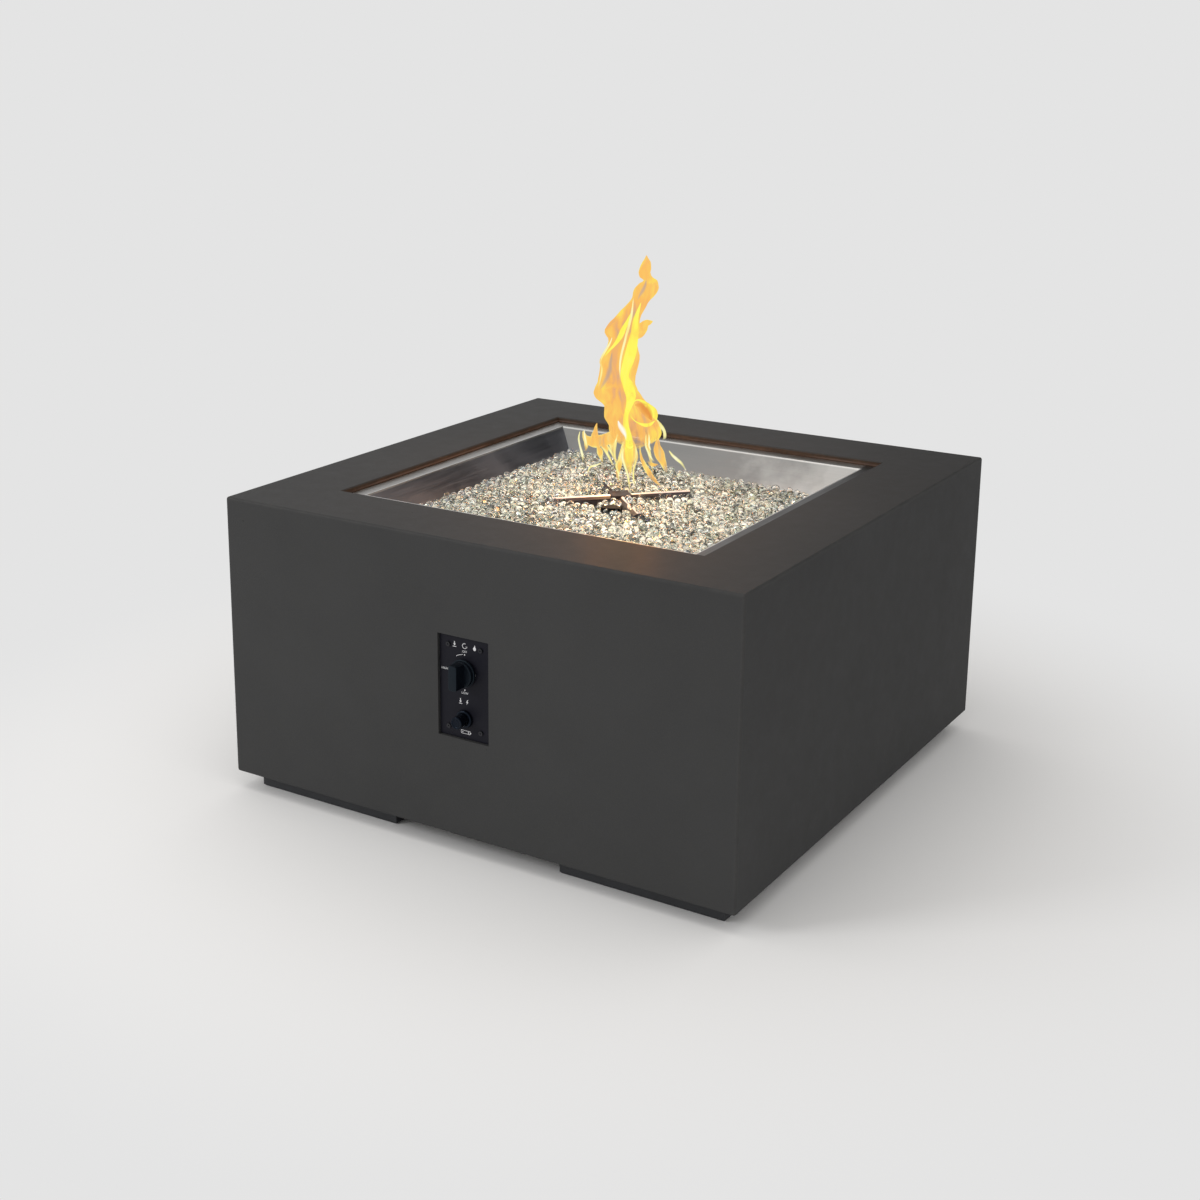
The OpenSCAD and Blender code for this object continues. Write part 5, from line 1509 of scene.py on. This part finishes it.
# %% Igniter
collar_low, collar_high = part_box("igniter_barrel")
button_low, button_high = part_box("igniter_button")
panel_low, panel_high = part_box("control_panel")
igniter_middle = (button_low + button_high) / 2
collar_front, collar_back = collar_low.y, collar_high.y
collar_r = (collar_high.x - collar_low.x) / 2
collar_edge = 0.0004
collar_round = 0.0022
barrel_r = 0.0120
lip_round = 0.0008
button_r = 0.00975
bore_r = button_r + 0.0001
button_front, button_back = button_low.y, button_high.y
button_round = 0.0012
groove_depth = 0.0006
flange_r = (button_high.x - button_low.x) / 2

collar_outline = [(bore_r, collar_back), (barrel_r, collar_back), (barrel_r, panel_low.y + 0.0001)]
collar_outline += [(collar_r - collar_edge, panel_low.y), (collar_r, panel_low.y - collar_edge)]
collar_outline += arc(collar_r - collar_round, collar_front + collar_round, collar_round, 0, -90)
collar_outline += arc(bore_r + lip_round, collar_front + lip_round, lip_round, -90, -180)
collar_outline += [(bore_r, collar_back)]
collar_shape = spun(collar_outline, igniter_middle)
collar = finished_piece(
    "igniter_collar", collar_shape, igniter_plastic, "table", turned_smooth)
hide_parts("igniter_barrel")

button_outline = [(0.0, button_front + 0.0002), (button_r * 0.55, button_front)]
button_outline += [(button_r * 0.62, button_front + groove_depth), (button_r * 0.70, button_front + 0.0001)]
button_outline += arc(button_r - button_round, button_front + button_round, button_round, -90, 0)
button_outline += [(button_r, button_back - 0.0022), (flange_r, button_back - 0.0020)]
button_outline += [(flange_r, button_back), (0.0, button_back)]
button_shape = spun(button_outline, igniter_middle)
button = finished_piece(
    "igniter_cap", button_shape, igniter_plastic, "igniter_button", turned_smooth)
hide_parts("igniter_button")
print("igniter collar and cap faces:", len(collar.data.polygons), len(button.data.polygons))

# %% [markdown]
# ## Marks printed on the panel
# The panel is printed in white: a dot at each place where the knob can point, a short arc that shows which
# way it turns, plain words for off, low and high, and small signs for push, turn, flame, spark and battery.
# Each mark is a flat shape a twentieth of a millimetre thick, and all are joined into one piece.

# %% Ink
ink_thin = (0.62, 0.62, 0.64)
ink_full = (0.78, 0.78, 0.80)
mark_depth = 0.00005
panel_face = panel_low.y
marks = bmesh.new()


def ink_finish():
    finish, tree, shader = new_finish("white_panel_ink", Roughness=0.6)
    clouds = use_group(tree, cloudy_tone, 300.0)["Tone"]
    fill(tree, shader, {"Base Color": mix_colour(tree, clouds, ink_thin, ink_full)})
    return finish


def put_mark(shape, x, z):
    """Thickens a flat shape drawn on XY, stands it up on the panel at (x, z) and adds it to the marks."""
    bmesh.ops.solidify(shape, geom=shape.faces[:], thickness=mark_depth)
    upright = Matrix.Rotation(math.radians(90), 4, "X")
    stand = Matrix.Translation((x, panel_face - mark_depth, z)) @ upright
    bmesh.ops.transform(shape, matrix=stand, verts=shape.verts)
    join_in(marks, shape)


print("ink lies", mark_depth / MM, "mm thick on the panel")

# %% [markdown]
# Dots are circles and arcs a short edge spun about a point. Signs have so few corners that these are given
# one by one, in millimetres. A word is a text object with Blender's own font, made a mesh before it is
# placed.

# %% Shapes of marks
def dot_shape(radius):
    bm = bmesh.new()
    bmesh.ops.create_circle(bm, cap_ends=True, radius=radius, segments=24)
    return bm


def arc_shape(radius, width, start, sweep):
    """Part of a ring, angles in degrees."""
    bm = bmesh.new()
    turn = math.radians(start)
    ends = [bm.verts.new((r * math.cos(turn), r * math.sin(turn), 0)) for r in (radius, radius + width)]
    edge = bm.edges.new(ends)
    bmesh.ops.spin(bm, geom=ends + [edge], cent=(0, 0, 0), axis=(0, 0, 1), angle=math.radians(sweep),
                   steps=16, use_duplicate=False)
    return bm


def outline_shape(points):
    """A flat shape from its corners in millimetres."""
    bm = bmesh.new()
    face = bm.faces.new([bm.verts.new((x * MM, y * MM, 0)) for x, y in points])
    face.normal_update()
    if face.normal.z < 0:
        face.normal_flip()
    return bm


def word_shape(word, size):
    """A plain word, centred, as flat faces."""
    curve = bpy.data.curves.new("word", "FONT")
    curve.body = word
    curve.size = size
    curve.align_x = "CENTER"
    curve.align_y = "CENTER"
    writer = bpy.data.objects.new("word", curve)
    scene.collection.objects.link(writer)
    mesh = bpy.data.meshes.new_from_object(writer.evaluated_get(bpy.context.evaluated_depsgraph_get()))
    bm = bmesh.new()
    bm.from_mesh(mesh)
    bmesh.ops.remove_doubles(bm, verts=bm.verts, dist=1e-7)
    bpy.data.objects.remove(writer)
    bpy.data.curves.remove(curve)
    bpy.data.meshes.remove(mesh)
    return bm


print("mark shapes ready")

# %% Marks round the knob
knob_x, knob_z = knob_middle.x, knob_middle.z
dot_ring = 0.0278
dot_r = 0.0011
turn_line = 0.0008
word_size = 0.0050
word_gap = 0.0047
side_word_gap = 0.0086
for turn in (90, 180, 270):
    angle = math.radians(turn)
    put_mark(dot_shape(dot_r), knob_x + dot_ring * math.cos(angle), knob_z + dot_ring * math.sin(angle))
put_mark(arc_shape(dot_ring - turn_line / 2, turn_line, start=97, sweep=26), knob_x, knob_z)
put_mark(word_shape("OFF", word_size), knob_x, knob_z + dot_ring + word_gap)
put_mark(word_shape("LOW", word_size), knob_x, knob_z - dot_ring - word_gap)
put_mark(word_shape("HIGH", word_size), knob_x - dot_ring - side_word_gap, knob_z)
print("marks round the knob, faces so far:", len(marks.faces))

# %% Icons
def bar(x, y, w, h):
    return [(x - w / 2, y - h / 2), (x + w / 2, y - h / 2), (x + w / 2, y + h / 2), (x - w / 2, y + h / 2)]


def put_icon(icon, x, z):
    for points in icon:
        put_mark(outline_shape(points), x, z)


push_icon = [[(-0.7, 4.4), (-0.7, 0.6), (-2.2, 0.6), (0, -2.4), (2.2, 0.6), (0.7, 0.6), (0.7, 4.4)],
             bar(0, -3.6, 6.0, 0.9)]
flame_icon = [[(0.2, 4.6), (-0.6, 2.2), (-2.0, 0.6), (-2.7, -1.4), (-2.0, -3.4), (0, -4.3), (2.0, -3.4),
               (2.7, -1.4), (2.0, 0.6), (1.2, 1.6), (1.0, 3.2)]]
spark_icon = [[(0.5, 4.0), (-1.9, -0.5), (-0.2, -0.3), (-0.9, -4.0), (1.9, 0.8), (0.2, 0.6), (1.6, 4.0)]]
battery_icon = [bar(0, 2.4, 17.0, 0.7), bar(0, -2.4, 17.0, 0.7), bar(-8.2, 0, 0.7, 4.1),
                bar(8.2, 0, 0.7, 4.1), bar(9.2, 0, 1.2, 2.2), bar(5.2, 0, 2.6, 0.7),
                bar(5.2, 1.0, 0.7, 1.2), bar(5.2, -1.0, 0.7, 1.2), bar(-5.2, 0, 2.6, 0.7)]
turn_head = [[(-1.7, 0.4), (1.7, 0.4), (0, -2.3)]]
icon_row = (panel_low.z + panel_high.z) / 2 + 0.0665
icon_step = 0.018
over_button = igniter_middle.z + 0.0265
under_button = igniter_middle.z - 0.0215
put_icon(push_icon, -icon_step, icon_row)
put_icon(flame_icon, icon_step, icon_row)
put_mark(arc_shape(radius=0.0034, width=0.0009, start=60, sweep=290), 0.0, icon_row)
put_icon(turn_head, 0.0036, icon_row - 0.0008)
put_icon(push_icon, -0.008, over_button)
put_icon(spark_icon, 0.004, over_button)
put_icon(battery_icon, 0.001, under_button)
panel_marks = finished_piece("panel_marks", marks, ink_finish(), "table")
print("printed marks, faces:", len(panel_marks.data.polygons))
